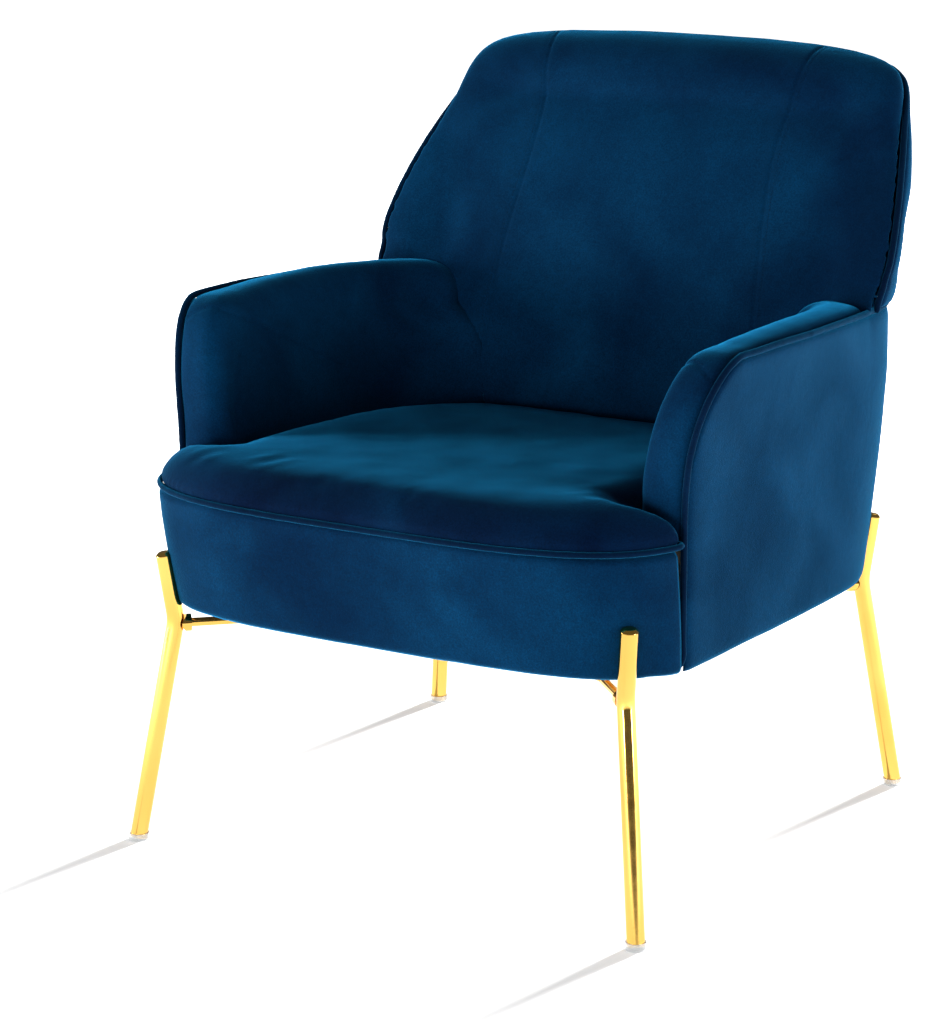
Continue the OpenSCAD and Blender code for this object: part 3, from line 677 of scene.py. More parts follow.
def felt_material():
    """Thin black bonded cloth with a dotted emboss and loose fibres."""
    mat, nodes, links, bsdf, coord = material("black_lining")
    dots = nodes.new("ShaderNodeTexVoronoi")
    dots.inputs["Scale"].default_value = 480
    dots.inputs["Randomness"].default_value = 0.25
    links.new(coord, dots.inputs["Vector"])
    fibre = noise_node(nodes, links, coord, 900, 4, 0.7, stretch=(1.0, 0.3, 1.0))
    blacks = [(0.3, (0.008,) * 3), (0.75, (0.035, 0.035, 0.038))]
    colour = ramp(nodes, links, fibre, blacks)
    links.new(colour, bsdf.inputs["Base Color"])
    bsdf.inputs["Roughness"].default_value = 0.9
    normal = bump(nodes, links, dots.outputs["Distance"], 0.0003, 0.5)
    links.new(bump(nodes, links, fibre, 0.0003, 0.4, normal), bsdf.inputs["Normal"])
    return mat


def floor_material():
    """White studio paper: lit by the lamps near the chair, and glowing towards the far end of the sweep."""
    mat, nodes, links, bsdf, coord = material("studio_floor")
    cloud = noise_node(nodes, links, coord, 3, 2)
    colour = ramp(nodes, links, cloud, [(0.3, (0.93,) * 3), (0.7, (0.95,) * 3)])
    links.new(colour, bsdf.inputs["Base Color"])
    bsdf.inputs["Roughness"].default_value = 0.9
    bsdf.inputs["Specular IOR Level"].default_value = 0.0
    bsdf.inputs["Emission Color"].default_value = (1, 1, 1, 1)
    away = nodes.new("ShaderNodeVectorMath")
    away.operation = "LENGTH"
    links.new(coord, away.inputs[0])
    glow = nodes.new("ShaderNodeMapRange")
    glow.interpolation_type = "SMOOTHSTEP"
    glow.inputs["From Min"].default_value = 0.5
    glow.inputs["From Max"].default_value = 2.6
    glow.inputs["To Min"].default_value = 0.12
    glow.inputs["To Max"].default_value = 1.0
    links.new(away.outputs["Value"], glow.inputs["Value"])
    links.new(glow.outputs[0], bsdf.inputs["Emission Strength"])
    return mat


MAT = {
    "velvet": velvet("navy_velvet", (0.0, 0.008, 0.029), (0.0, 0.0145, 0.045), (0.0, 0.0225, 0.065), 0.8),
    # darker copy of the navy velvet with less sheen, for the seat only: painted shade for its dim top
    "velvet_seat_shaded": velvet("navy_velvet_seat_painted_shade", (0.0, 0.0025, 0.014), (0.0, 0.0065, 0.026), (0.0, 0.013, 0.043),
                         0.5),
    # much darker copy of the navy velvet with less sheen, for the piping cords: painted shade for the cords
    # in their creases
    "welt": velvet("navy_velvet_cord_painted_shade", (0.0, 0.003, 0.014), (0.0, 0.005, 0.020), (0.0, 0.009, 0.030),
                   0.4, 0.4),
    "thread": velvet("navy_thread", (0.001, 0.008, 0.026), (0.0015, 0.012, 0.036), (0.002, 0.016, 0.045),
                     0.15, 0.5),
    "gold": gold_material(),
    "clear": clear_material(),
    "steel": steel_material(),
    "wood": wood_material(),
    "felt": felt_material(),
}
SLOT_MATERIAL = {"gold_metal": "gold", "clear_plastic": "clear", "steel": "steel", "timber": "wood",
                 "felt": "felt", "velvet": "velvet", "velvet_welt": "welt"}
for part in frame["record"]["subparts"]:
    node_object = frame["nodes"].get(part["node"])
    if node_object is not None and node_object.type == "MESH":
        look = MAT[SLOT_MATERIAL[part["material_slot"]]]
        node_object.data.materials.clear()
        node_object.data.materials.append(look)


# ---------------------------------------------------------------- seat cushion
SEAT_START, SEAT_HALF, SEAT_REACH, SEAT_POWER = 170.0, 338.0, 219.0, 3.5
SEAT_REAR_X, SEAT_REAR_Y, SEAT_REAR_WIDE, SEAT_REAR_DEEP, SEAT_REAR_POWER = 140, -40, 125, 189, 1.15
CROWN_MID = np.array([0.0, -190.0])
SEAT_CAP, SEAT_VOXEL = 0.005, 0.0052


def seat_outline():
    """The T-shaped plan: a rounded front, a wing before each arm, and a rounded rear between the arms."""
    half = [front_point(a, SEAT_HALF, SEAT_START, SEAT_REACH, SEAT_POWER) for a in np.linspace(90, 16, 20)]
    half += [(328, -267), (314, -263), (290, -262), (270, -261)]
    half += [(266, y) for y in (-250, -200, -140, -90)]
    for a in range(0, 90, 9):
        c, s = arc(a)
        half.append((SEAT_REAR_X + SEAT_REAR_WIDE * power(c, SEAT_REAR_POWER),
                     SEAT_REAR_Y + SEAT_REAR_DEEP * power(s, SEAT_REAR_POWER)))
    half += [(100, 153), (50, 155)]
    return closed_plan(half + [(0, 156)] + [(-x, y) for x, y in reversed(half[1:])], 300)


def loop_area(loop):
    """Area inside a closed plan curve, positive where it runs anticlockwise."""
    x, y = loop[:, 0], loop[:, 1]
    return 0.5 * np.sum(x * np.roll(y, -1) - np.roll(x, -1) * y)


seat_plan = seat_outline()
seat_turn = -1.0 if loop_area(seat_plan) > 0 else 1.0


def seat_drop(y):
    """The seat falls gently towards its rear."""
    return 0.035 * (y + 230)


def seat_height(xy):
    """Height of the crowned top over plan points."""
    loop = np.vstack([seat_plan, seat_plan[:1]])
    flat = np.column_stack([xy, np.zeros(len(xy))])
    d, _ = polyline_distance(flat, np.column_stack([loop, np.zeros(len(loop))]))
    out = []
    for (x, y), gap in zip(xy, d):
        front = smooth((-y - 205) / 85)
        rolled = SEAM_Z + 1 + 38 * (1 - math.exp(-((gap / 13) ** 0.78)))
        tight = SEAT_Z - 11 * math.exp(-gap / 28) - 13 * math.exp(-gap / 3) - seat_drop(y)
        out.append(lerp(tight, rolled, front))
    return np.array(out)


def seat_loop(scale, shrink, z=None):
    """The plan scaled to its middle and drawn in, flat at z or else on the crowned top."""
    p = CROWN_MID + scale * (seat_plan - CROWN_MID)
    step = np.roll(seat_plan, -1, axis=0) - np.roll(seat_plan, 1, axis=0)
    step /= np.linalg.norm(step, axis=1, keepdims=True)
    p = p + shrink * np.column_stack([step[:, 1], -step[:, 0]]) * seat_turn
    heights = seat_height(p) if z is None else np.full(len(p), float(z))
    return np.column_stack([p, heights])


# rings of the underside and the lower edge: scale, how far drawn in, height
UNDER_RINGS = ((0.2, 0, 385), (0.55, 0, 380), (0.84, 0, 380), (0.85, 0, 409), (1.0, 4, 415))
TOP_SCALES = (1.0, 0.994, 0.985, 0.972, 0.955, 0.935, 0.91, 0.88, 0.84, 0.79,
              0.73, 0.66, 0.58, 0.5, 0.42, 0.34, 0.26, 0.18, 0.1, 0.04)
seat_rings = [seat_loop(*ring) for ring in UNDER_RINGS] + [seat_loop(scale, 0.5) for scale in TOP_SCALES]
# the seat cushion wears the darker velvet copy, which is painted shade
seat = new_piece("seat_cushion_soft", *loft(seat_rings, fan=True), MAT["velvet_seat_shaded"], "velvet")
outward(seat)
remesh(seat, SEAT_VOXEL)
relax(seat, 0.5, 3)
inflate(seat, SEAT_CAP, lambda p: np.clip((p[:, 2] - 0.428) / 0.02, 0, 1))
subdivide(seat)
ripple(seat, 0.0011, 0.085, 3, lambda p: np.clip((p[:, 2] - 0.425) / 0.02, 0, 1))
for crease in ([(-0.255, -0.345, 0.446), (-0.235, -0.325, 0.452), (-0.212, -0.312, 0.455)],
               [(-0.17, -0.352, 0.452), (-0.15, -0.328, 0.456), (-0.14, -0.30, 0.458)],
               [(0.215, -0.322, 0.450), (0.235, -0.29, 0.452), (0.245, -0.262, 0.452)]):
    fold(seat, spline(crease, 14), 0.0012, 0.009)
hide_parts("seat_cushion")

WING_REAR_Y = -262.5
half_turn = np.roll(seat_plan, len(seat_plan) // 2, axis=0)
front_run = half_turn[half_turn[:, 1] < WING_REAR_Y]
seat_path = spline(np.column_stack([front_run, np.full(len(front_run), SEAM_Z - 3)]), 260)
welt("seat_welt_cord", seat_path, "seat_welt", 3.4)

# ---------------------------------------------------------------- front apron
APRON_TOP_Z, APRON_FROM = 413.0, 8.6
APRON_LOW, APRON_HIGH, APRON_LEAN = -10.0, 0.0, 12.0
APRON_ROWS, APRON_COLUMNS, APRON_THICK = 41, 150, 13


def apron_point(angle, z, inset):
    """A place on the apron, whose lower edge is drawn in."""
    g = (z - BASE_Z) / (APRON_TOP_Z - BASE_Z)
    out = lerp(APRON_LOW, APRON_HIGH, g) * smooth((min(angle, 180 - angle) - APRON_FROM) / 14)
    grow = out - inset
    x, y = front_point(angle, FRONT_HALF + grow, FRONT_START + APRON_LEAN * g, FRONT_REACH + grow)
    return x, y, z


def apron_ring(angle):
    """One upright section of the apron: its rounded face going up, and its back coming down."""
    ring = []
    for k in range(APRON_ROWS):
        t = k / (APRON_ROWS - 1)
        z = lerp(BASE_Z + 1, APRON_TOP_Z, t)
        puff = -2.2 * math.sin(math.pi * t) ** 0.6
        roll = 7 * (1 - math.sqrt(1 - clamp01(1 - (z - BASE_Z) / 9) ** 2))
        roll += 8 * power(1 - (APRON_TOP_Z - z) / 8, 2)
        ring.append(apron_point(angle, z, roll + puff + 1.5))
    back = [apron_point(angle, z, APRON_THICK) for z in np.linspace(APRON_TOP_Z, BASE_Z + 1, APRON_ROWS)]
    return ring + back


apron_rings = [apron_ring(a) for a in np.linspace(APRON_FROM, 180 - APRON_FROM, APRON_COLUMNS)]
apron = new_piece("front_apron_soft", *loft(apron_rings, strip=True), MAT["velvet"], "velvet")
outward(apron)
ripple(apron, 0.0008, 0.09, 8)
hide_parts("front_apron")

# ---------------------------------------------------------------- arms
PAD_LOW_Z, PAD_REAR_Y, PAD_ROLL, PAD_THICK = 400.0, 196.0, 36.0, 24.0
PAD_TURN_Y, PAD_TURN_Z, PAD_TURN_FROM_Z = 71, 120, 482
PAD_FACE_STEPS, PAD_UNDER_STEPS, PAD_BORDER = 30, 24, 18
PAD_CAP, PAD_FRONT_X = 0.003, 0.312


def pad_crown(y):
    """How far an arm's padding stands over its welt, most at the middle of its length."""
    return 7 + 7 * power(1 - ((y - 50) / 200) ** 2, 1)


def pad_stations():
    """Stations along the outer edge of an arm, from the seat up its front and back along its top.
    Each one has its place (y, z), and where its section ends under the seat (y, z)."""
    places = [(SIDE_FRONT_Y - 3, z) for z in np.linspace(416, 478, 10)]
    for a in np.linspace(0, 90, 22)[1:]:
        c, s = arc(a)
        places.append((SIDE_FRONT_Y - 3 + PAD_TURN_Y * (1 - c), PAD_TURN_FROM_Z + PAD_TURN_Z * s))
    places += [(y, side_top(y)) for y in np.linspace(-176, PAD_REAR_Y, 44)]
    places = np.array(places)
    run = np.concatenate([[0], np.cumsum(np.linalg.norm(np.diff(places, axis=0), axis=1))])
    out = []
    for (y, z), r in zip(places, run):
        t = r / run[-1]
        rear_foot = PAD_REAR_Y - 0.27 * (side_top(PAD_REAR_Y) - PAD_LOW_Z)
        out.append((y, z, lerp(-236, rear_foot, power(t, 0.9)), PAD_LOW_Z))
    return out


def pad_ring(station):
    """A section of the arm pad: from the welt over the crown, down the inner face, and back inside."""
    y0, z0, foot_y, foot_z = station
    start = np.array([y0, z0])
    d = np.array([foot_y - y0, foot_z - z0])
    length = np.linalg.norm(d)
    d /= length
    crown = pad_crown(y0) + 2
    xo = side_half(max(y0, -250), z0) - 7.5
    depth = PAD_ROLL + crown
    at = start + d * (depth - crown)
    xi = arm_inner(at[0], min(at[1], 600))
    wide = xo - xi
    ring = []
    for a in np.linspace(0, 1, 9)[:-1]:
        drop = 3 + (crown - 0.2) * math.sqrt(max(0.0, 1 - (1 - a) ** 2.4))
        p = start - d * (drop - 3)
        ring.append((xo - 0.42 * wide * a, p[0], p[1]))
    for a in np.linspace(90, 0, 16):
        c, s = arc(a)
        p = start + d * (-crown + depth * (1 - s ** 0.9))
        ring.append((xi + 0.58 * wide * (1 - c ** 0.8), p[0], p[1]))
    for a in np.linspace(0, 1, PAD_FACE_STEPS)[1:]:
        p = start + d * lerp(depth - crown, length, a)
        ring.append((arm_inner(p[0], p[1]), p[0], p[1]))
    back_run = []
    for a in np.linspace(1, 0, PAD_FACE_STEPS):
        p = start + d * lerp(PAD_BORDER, length, a)
        back_run.append((min(arm_inner(p[0], p[1]) + PAD_THICK, xo - 1), p[0], p[1]))
    for a in np.linspace(0, 1, PAD_UNDER_STEPS):
        p = start + d * lerp(PAD_BORDER, 6, a)
        back_run.append((lerp(back_run[PAD_FACE_STEPS - 1][0], xo - 1, a), p[0], p[1]))
    return ring + back_run[:len(ring)]


def mirrored(name, source):
    """A mirror image of a right-hand velvet piece on the left."""
    mesh = source.data.copy()
    mesh.name = name
    p = coords(mesh)
    p[:, 0] *= -1
    mesh.flip_normals()
    set_coords(mesh, p)
    obj = bpy.data.objects.new(name, mesh)
    bpy.context.scene.collection.objects.link(obj)
    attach(obj, "root")
    return obj


def pad_keep(p):
    """Only the inner face of an arm swells, clear of the welt, the seat and the backrest."""
    inner = np.clip((PAD_FRONT_X - p[:, 0]) / 0.03, 0, 1)
    return inner * np.clip((p[:, 2] - 0.45) / 0.03, 0, 1) * np.clip((0.12 - p[:, 1]) / 0.04, 0, 1)


def to_side(sign, points):
    return [(sign * x, y, z) for x, y, z in points]


ARM_SEAM = ((0.338, -0.232, 0.592), (0.312, -0.218, 0.603), (0.29, -0.205, 0.594), (0.277, -0.16, 0.574),
            (0.271, -0.108, 0.551), (0.266, -0.05, 0.524), (0.262, 0.0, 0.500))
ARM_CREASES = (((0.272, 0.02, 0.56), (0.262, 0.06, 0.535), (0.24, 0.10, 0.50)),
               ((0.276, 0.07, 0.575), (0.262, 0.105, 0.55), (0.238, 0.135, 0.52)),
               ((0.268, -0.02, 0.50), (0.262, 0.03, 0.475), (0.25, 0.07, 0.462)))
pad_rings = [pad_ring(station) for station in pad_stations()]
pad = new_piece("arm_pad_right_soft", *loft(pad_rings, strip=True), MAT["velvet"], "velvet")
outward(pad)
inflate(pad, PAD_CAP, pad_keep)
subdivide(pad)
pad_left = mirrored("arm_pad_left_soft", pad)
for obj, sign, name, seed in ((pad, 1, "right", 11), (pad_left, -1, "left", 12)):
    cross = on_surface(surface_of(obj), spline(to_side(sign, ARM_SEAM), 60))
    ripple(obj, 0.0009, 0.07, seed, lambda p: np.clip((p[:, 2] - 0.44) / 0.02, 0, 1))
    press(obj, cross, 0.0016, 0.0022)
    for crease in ARM_CREASES:
        fold(obj, spline(to_side(sign, crease), 16), 0.0016, 0.008)
    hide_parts("arm_pad_" + name)
    stitch_line = cross + np.array([0, 0, 0.0035])
    stitches("arm_stitching_" + name, [stitch_line[3:-4]], obj)


PANEL_LEVELS, PANEL_COLUMNS, PANEL_CORNER, PANEL_THICK, PANEL_PUFF = 60, 60, 35, 6, 2.0


def panel_rings():
    """Side panel, as columns from the front round to the rear seam."""
    depths = [lerp(SIDE_FRONT_Y, REAR_START, (i / PANEL_COLUMNS) ** 1.3) for i in range(PANEL_COLUMNS)]

    def path_of(z):
        corner = [rear_point(50 * i / (PANEL_CORNER - 1), z) for i in range(PANEL_CORNER)]
        return [(side_half(y, z), y) for y in depths] + corner

    columns = []
    ys = [p[1] for p in path_of(BASE_Z)]
    tops = [side_top(p[1]) for p in path_of(ARM_Z - ARM_FALL)]
    last = len(ys) - 1
    for i in range(last + 1):
        outer, inner = [], []
        for k in range(PANEL_LEVELS + 1):
            z = lerp(BASE_Z + 1, tops[i], k / PANEL_LEVELS)
            path = path_of(z)
            a, b = path[max(i - 1, 0)], path[min(i + 1, last)]
            d = unit(np.array([b[0] - a[0], b[1] - a[1]]))
            n = np.array([d[1], -d[0]])
            edge = min(z - BASE_Z, tops[i] - z)
            side_edge = min(abs(ys[i] - SIDE_FRONT_Y) + 0.2, (last - i) * 6.0 + 0.2)
            inset = 3.2 * math.exp(-edge / 4.0) + 3.0 * math.exp(-side_edge / 4.0)
            puff = PANEL_PUFF * (1 - math.exp(-edge / 40.0)) * (1 - math.exp(-side_edge / 40.0))
            outer.append((*(np.array(path[i]) + n * (puff - inset)), z))
            inner.append((*(np.array(path[i]) - n * PANEL_THICK), z))
        columns.append(outer + inner[::-1])
    return columns


side = new_piece("side_panel_right_soft", *loft(panel_rings(), strip=True), MAT["velvet"], "velvet")
outward(side)
side_left = mirrored("side_panel_left_soft", side)
for obj, name, seed in ((side, "right", 21), (side_left, "left", 22)):
    ripple(obj, 0.0008, 0.12, seed)
    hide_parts("side_panel_" + name)

def arm_welt_path():
    """From under the front of an arm, up its front edge, and back along its top to the backrest."""
    off = WELT_R + 0.4
    foot = side_half(SIDE_FRONT_Y, 281)
    path = [(foot - 22, SIDE_FRONT_Y - 14, 277), (foot - 10, SIDE_FRONT_Y - 6, 281)]
    path += [(side_half(SIDE_FRONT_Y, z) - WELT_R, SIDE_FRONT_Y - off, z) for z in range(292, 480, 18)]
    for a in np.linspace(8, 90, 9):
        c, s = arc(a)
        y = SIDE_FRONT_Y + ARM_ROLL * (1 - c)
        z = side_top(SIDE_FRONT_Y) + ARM_ROLL_DROP * s
        path.append((side_half(y, z) - WELT_R, y - off * c, z + off * s))
    path += [(side_half(y, ARM_Z) - WELT_R, y, side_top(y) + off) for y in range(-160, 10, 30)]
    for a in np.linspace(6, 50, 10):
        p = np.array(rear_point(a, ARM_Z))
        q = p - WELT_R * unit(p - np.array([0, REAR_START - 40]))
        path.append((q[0], q[1], side_top(q[1]) + off))
    return spline(path, 300)


arm_path = arm_welt_path()
welt("arm_welt_right_cord", arm_path, "arm_welt_right")
welt("arm_welt_left_cord", arm_path * np.array([-1, 1, 1]), "arm_welt_left")

# ---------------------------------------------------------------- backrest
BACK_LOW_X = (150, 181, 198, 220, 247, 272, 300, 320)
BACK_LOW_Z = (415, 450, 490, 525, 547, 565, 576, 586)
BACK_MID = np.array([0.0, 640.0])
BACK_POINTS, BACK_VOXEL, BACK_CAP = 320, 0.0048, 0.003
BULGE_SIDE, BULGE_TOP, ROLL_SIDE, ROLL_TOP = -2.5, 12.5, 24.0, 62.0
SEAM_GAP = 0.0068


def back_low(x):
    """The lower edge of the padding, hidden behind the seat and the arms."""
    return float(np.interp(abs(x), BACK_LOW_X, BACK_LOW_Z))


def back_outline():
    """The backrest's closed outline in (x, z): the welt from right to left, then the hidden lower edge."""
    right = [(edge_half(z), z) for z in np.linspace(SPLIT_Z - 6, 800, 40)]
    right += [(x, edge_z(x)) for x in np.linspace(edge_half(803), edge_half(845), 12)]
    right += [(x, edge_z(x)) for x in np.linspace(edge_half(848), 0, 40)]
    upper = right + [(-x, z) for x, z in reversed(right[:-1])]
    lower = [(x, back_low(x)) for x in np.linspace(-330, 330, 90)]
    return np.array(upper + lower)


def even_loop(points, count, passes):
    """A closed loop resampled to equal steps and smoothed a little."""
    even = resampled(np.vstack([points, points[:1]]), count, closed=True)
    for _ in range(passes):
        even = 0.25 * np.roll(even, 1, axis=0) + 0.5 * even + 0.25 * np.roll(even, -1, axis=0)
    return even


def loop_normals(loop):
    """Outward directions along a closed loop round BACK_MID."""
    turn = np.roll(loop, -1, axis=0) - np.roll(loop, 1, axis=0)
    turn /= np.linalg.norm(turn, axis=1, keepdims=True)
    out = np.column_stack([turn[:, 1], -turn[:, 0]])
    return out if np.sum(out * (loop - BACK_MID)) > 0 else -out


back_edge = even_loop(back_outline(), BACK_POINTS, 3)
ray = back_edge - BACK_MID
ray /= np.linalg.norm(ray, axis=1, keepdims=True)
slant = 1 / np.maximum(np.sum(ray * loop_normals(back_edge), axis=1), 0.5)
is_edge = np.array([smooth((z - SPLIT_Z) / 30 + 0.6) if abs(x) > 300 or z > 700 else 0.0
                    for x, z in back_edge])
bulge = np.array([lerp(BULGE_SIDE, BULGE_TOP, smooth((z - 780) / 80)) for _, z in back_edge]) * is_edge
roll_r = np.array([lerp(ROLL_SIDE, ROLL_TOP, smooth((z - 740) / 110)) for _, z in back_edge])
edge_depth = np.array([edge_y(z) - 2 for _, z in back_edge])


def back_loop(inset):
    """The outline moved inwards along lines to the middle, so that its corners don't fold."""
    return back_edge - ray * (inset * slant)[:, None]


def on_face(points):
    return np.array([[x, back_face(x, z), z] for x, z in points])


def back_ring(loop, depth):
    return np.column_stack([loop[:, 0], depth, loop[:, 1]])


def backrest_rings():
    """From the middle of its back out to the piping, over the rounded edge, and in across its face."""
    rolled = back_loop(roll_r)
    rolled_y = on_face(rolled)[:, 1]
    front_y = edge_depth - 0.3 * np.maximum(0, edge_depth - rolled_y)
    at_edge = is_edge > 0.5
    rings = []
    inner = back_loop(np.full(BACK_POINTS, 12.0))
    for scale in np.linspace(0.06, 0.96, 16):
        p = BACK_MID + scale * (inner - BACK_MID)
        face_y = on_face(p)[:, 1]
        rings.append(back_ring(p, np.minimum(face_y + 24, np.maximum(edge_depth, face_y + 16))))
    p = back_loop(np.full(BACK_POINTS, 3.0))
    rings.append(back_ring(p, np.where(at_edge, edge_depth, on_face(p)[:, 1] + 8)))
    p = back_loop(-0.75 * bulge)
    rings.append(back_ring(p, np.where(at_edge, lerp(edge_depth, front_y, 0.6), on_face(p)[:, 1] + 4)))
    for a in np.linspace(0, 90, 15):
        c, s = arc(a)
        p = back_loop(roll_r - (roll_r + bulge) * c)
        y = front_y - (front_y - rolled_y) * s
        rings.append(back_ring(p, lerp(on_face(p)[:, 1], y, is_edge)))
    rings += [on_face(BACK_MID + scale * (rolled - BACK_MID)) for scale in np.linspace(1, 0.03, 34)[1:]]
    return rings


def back_keep(p):
    """Only the open face of the backrest swells, clear of the arms, the seat and the piping."""
    wide = np.clip((0.29 - abs(p[:, 0])) / 0.05, 0, 1)
    return wide * np.clip((p[:, 2] - 0.50) / 0.05, 0, 1) * np.clip((0.81 - p[:, 2]) / 0.05, 0, 1)


BACK_SEAM = ((.180, .340, .872), (.1735, .314, .848), (.1686, .292, .8185), (.1638, .2715, .788),
             (.162, .252, .747), (.165, .2335, .7026), (.1696, .213, .658), (.1735, .203, .617),
             (.175, .194, .601), (.180, .178, .55), (.187, .160, .50))
CORNER_CREASE = ((0.215, 0.165, 0.535), (0.24, 0.172, 0.565), (0.275, 0.175, 0.60))
LOW_CREASE = ((-0.12, 0.15, 0.475), (0.0, 0.148, 0.478), (0.12, 0.15, 0.475))
back = new_piece("backrest_soft", *loft(backrest_rings(), strip=True), MAT["velvet"], "velvet")
outward(back)
remesh(back, BACK_VOXEL)
relax(back, 0.5, 4)
inflate(back, BACK_CAP, back_keep)
subdivide(back)
ripple(back, 0.0011, 0.12, 31, lambda p: np.clip((p[:, 2] - 0.45) / 0.05, 0, 1))
tree = surface_of(back)
seams = [on_surface(tree, spline(to_side(sign, BACK_SEAM), 90)) for sign in (-1, 1)]
rows = [line + np.array([sign * SEAM_GAP, 0, 0]) for sign, line in zip((-1, 1), seams)]
for seam, row in zip(seams, rows):
    press(back, seam, 0.0017, 0.0022)
    press(back, row, 0.0006, 0.0018)
for crease in (CORNER_CREASE, to_side(-1, CORNER_CREASE), LOW_CREASE):
    fold(back, spline(crease, 16), 0.0016, 0.012)
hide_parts("back_panel_left", "back_panel_centre", "back_panel_right")
stitches("back_stitching", rows, back)

edge_path = [(edge_half(z), edge_y(z), z) for z in list(range(594, 640, 9)) + list(range(650, 800, 20))]
edge_path += [(edge_half(z), edge_y(z), z) for z in range(806, 842, 8)]
edge_path += [(x, edge_y(edge_z(x)), edge_z(x)) for x in range(260, 40, -30)]
edge_path = edge_path + [(0, edge_y(edge_z(0)), edge_z(0))] + [(-x, y, z) for x, y, z in reversed(edge_path)]
welt("back_welt_cord", spline(edge_path, 420), "back_welt")


SHELL_STEPS, SHELL_THICK, SHELL_FOOT_Z, SHELL_TOP_Z, SHELL_START = 31, 5, 276, 874, 8


def low_shell(z, inset):
    """Half the plan of the lower outside back, from the side panel's rear seam to the middle."""
    last = SHELL_STEPS - 1
    pts = np.array([rear_point(lerp(51, 90, i / last), z) for i in range(SHELL_STEPS)])
    out = []
    for i in range(SHELL_STEPS):
        d = unit(pts[min(i + 1, last)] - pts[max(i - 1, 0)])
        out.append(pts[i] - inset * np.array([d[1], -d[0]]))
    return out


def high_shell(z, inset):
    """Half the plan of the upper outside back, from the piping round to the middle."""
    half, reach, n = edge_half(z) - inset, rear_y(z) - inset - edge_y(z) - SHELL_START, shell_power(z)
    out = []
    for angle in np.linspace(0, 90, SHELL_STEPS):
        c, s = arc(angle)
        out.append((half * power(c, 2 / n), edge_y(z) + SHELL_START + reach * power(s, 2 / n)))
    return out


def shell_ring(outline, z, edge):
    """A level section of the outside back: its outer face one way, and its inner face back."""
    outer, inner = outline(z, edge), outline(z, SHELL_THICK)
    ring = [(p[0], p[1], z) for p in outer] + [(-p[0], p[1], z) for p in reversed(outer[:-1])]
    ring += [(-p[0], p[1], z) for p in inner] + [(p[0], p[1], z) for p in reversed(inner[:-1])]
    return ring


def shell_edge(z, low, high):
    """How far the cloth turns in near a panel's lower and upper edges."""
    return 2.6 * math.exp(-min(z - low, high - z) / 3.5)


def outside_panel(name, node, outline, levels, low, high, ripple_size, seed):
    rings = [shell_ring(outline, z, shell_edge(z, low, high)) for z in levels]
    panel = new_piece(name, *loft(rings, strip=True), MAT["velvet"], "velvet")
    outward(panel)
    ripple(panel, ripple_size, 0.12, seed)
    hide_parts(node)


low_top, high_foot = SPLIT_Z - 0.3, SPLIT_Z + 0.2
low_z = [*np.linspace(SHELL_FOOT_Z, 292, 8), *np.linspace(300, 582, 30), *np.linspace(588, low_top, 6)]
high_z = [*np.linspace(high_foot, 608, 6), *np.linspace(618, 835, 32), *np.linspace(841, 862, 9)]
outside_panel("outside_back_soft", "outside_back", low_shell, low_z, SHELL_FOOT_Z, low_top, 0.0007, 41)
outside_panel("outside_back_top_soft", "outside_back_top", high_shell, high_z, high_foot, SHELL_TOP_Z,
              0.0006, 42)

# ---------------------------------------------------------------- legs
TUBE_R, KINK_Z, LEG_TOP_Z, UPPER_LEAN, TUBE_LOW, BEND_RUN = 10.0, 258.0, 334.0, 8.0, 3.5, 11.0
LEGS = {"front": (327.0, -354.0, 35.0), "rear": (325.0, 284.0, 34.0)}


def leg_path(foot_x, foot_y, lean):
    """From the glide up to the bend, round it and on to the top, with the direction of the upper end."""
    back = math.copysign(1, foot_y)
    foot = np.array([foot_x, foot_y, 0.0])
    kink = foot + np.array([-lean, -lean * back, KINK_Z])
    top = kink + np.array([UPPER_LEAN, UPPER_LEAN * back, LEG_TOP_Z - KINK_Z])
    low = unit(foot - kink)
    high = unit(top - kink)
    start, end = kink + low * BEND_RUN, kink + high * BEND_RUN
    curve = [(1 - t) ** 2 * start + 2 * t * (1 - t) * kink + t * t * end for t in np.linspace(0, 1, 13)]
    first = foot - low * TUBE_LOW
    lower = [lerp(first, start, t) for t in np.linspace(0, 1, 24)[:-1]]
    upper = [lerp(end, top, t) for t in np.linspace(0, 1, 10)[1:]]
    return lower + curve + upper, high


TUBE_SIDES = 40


def ring_at(centre, side, up, radius):
    return [centre + radius * (math.cos(a) * side + math.sin(a) * up)
            for a in np.linspace(0, 2 * math.pi, TUBE_SIDES, endpoint=False)]


def swept(path, radii):
    """Round rings along a path, with no twist from one to the next."""
    rings, side = [], None
    for i, centre in enumerate(path):
        d = unit(path[min(i + 1, len(path) - 1)] - path[max(i - 1, 0)])
        side = np.cross(d, (0.7, -0.7, 0.1)) if side is None else side
        side = unit(side - d * (side @ d))
        rings.append(ring_at(centre, side, np.cross(d, side), radii[i]))
    return rings


def crisp(obj, angle):
    """Keeps machined edges sharp while the round faces stay smooth."""
    bm = bmesh.new()
    bm.from_mesh(obj.data)
    for edge in bm.edges:
        edge.smooth = edge.calc_face_angle(0) < math.radians(angle)
    bm.to_mesh(obj.data)
    bm.free()


for end, (foot_x, foot_y, lean) in LEGS.items():
    for name, sign in (("right", 1), ("left", -1)):
        path, high = leg_path(foot_x, foot_y, lean)
        path = [np.array([sign * p[0], p[1], p[2]]) for p in path]
        leg = new_piece("leg_%s_%s_tube" % (end, name), *loft(swept(path, [TUBE_R] * len(path)), fan=True),
                        MAT["gold"], "gold_metal")
        outward(leg)
        crisp(leg, 50)
        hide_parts("leg_%s_%s" % (end, name))

cap_points, cap_faces = [], []
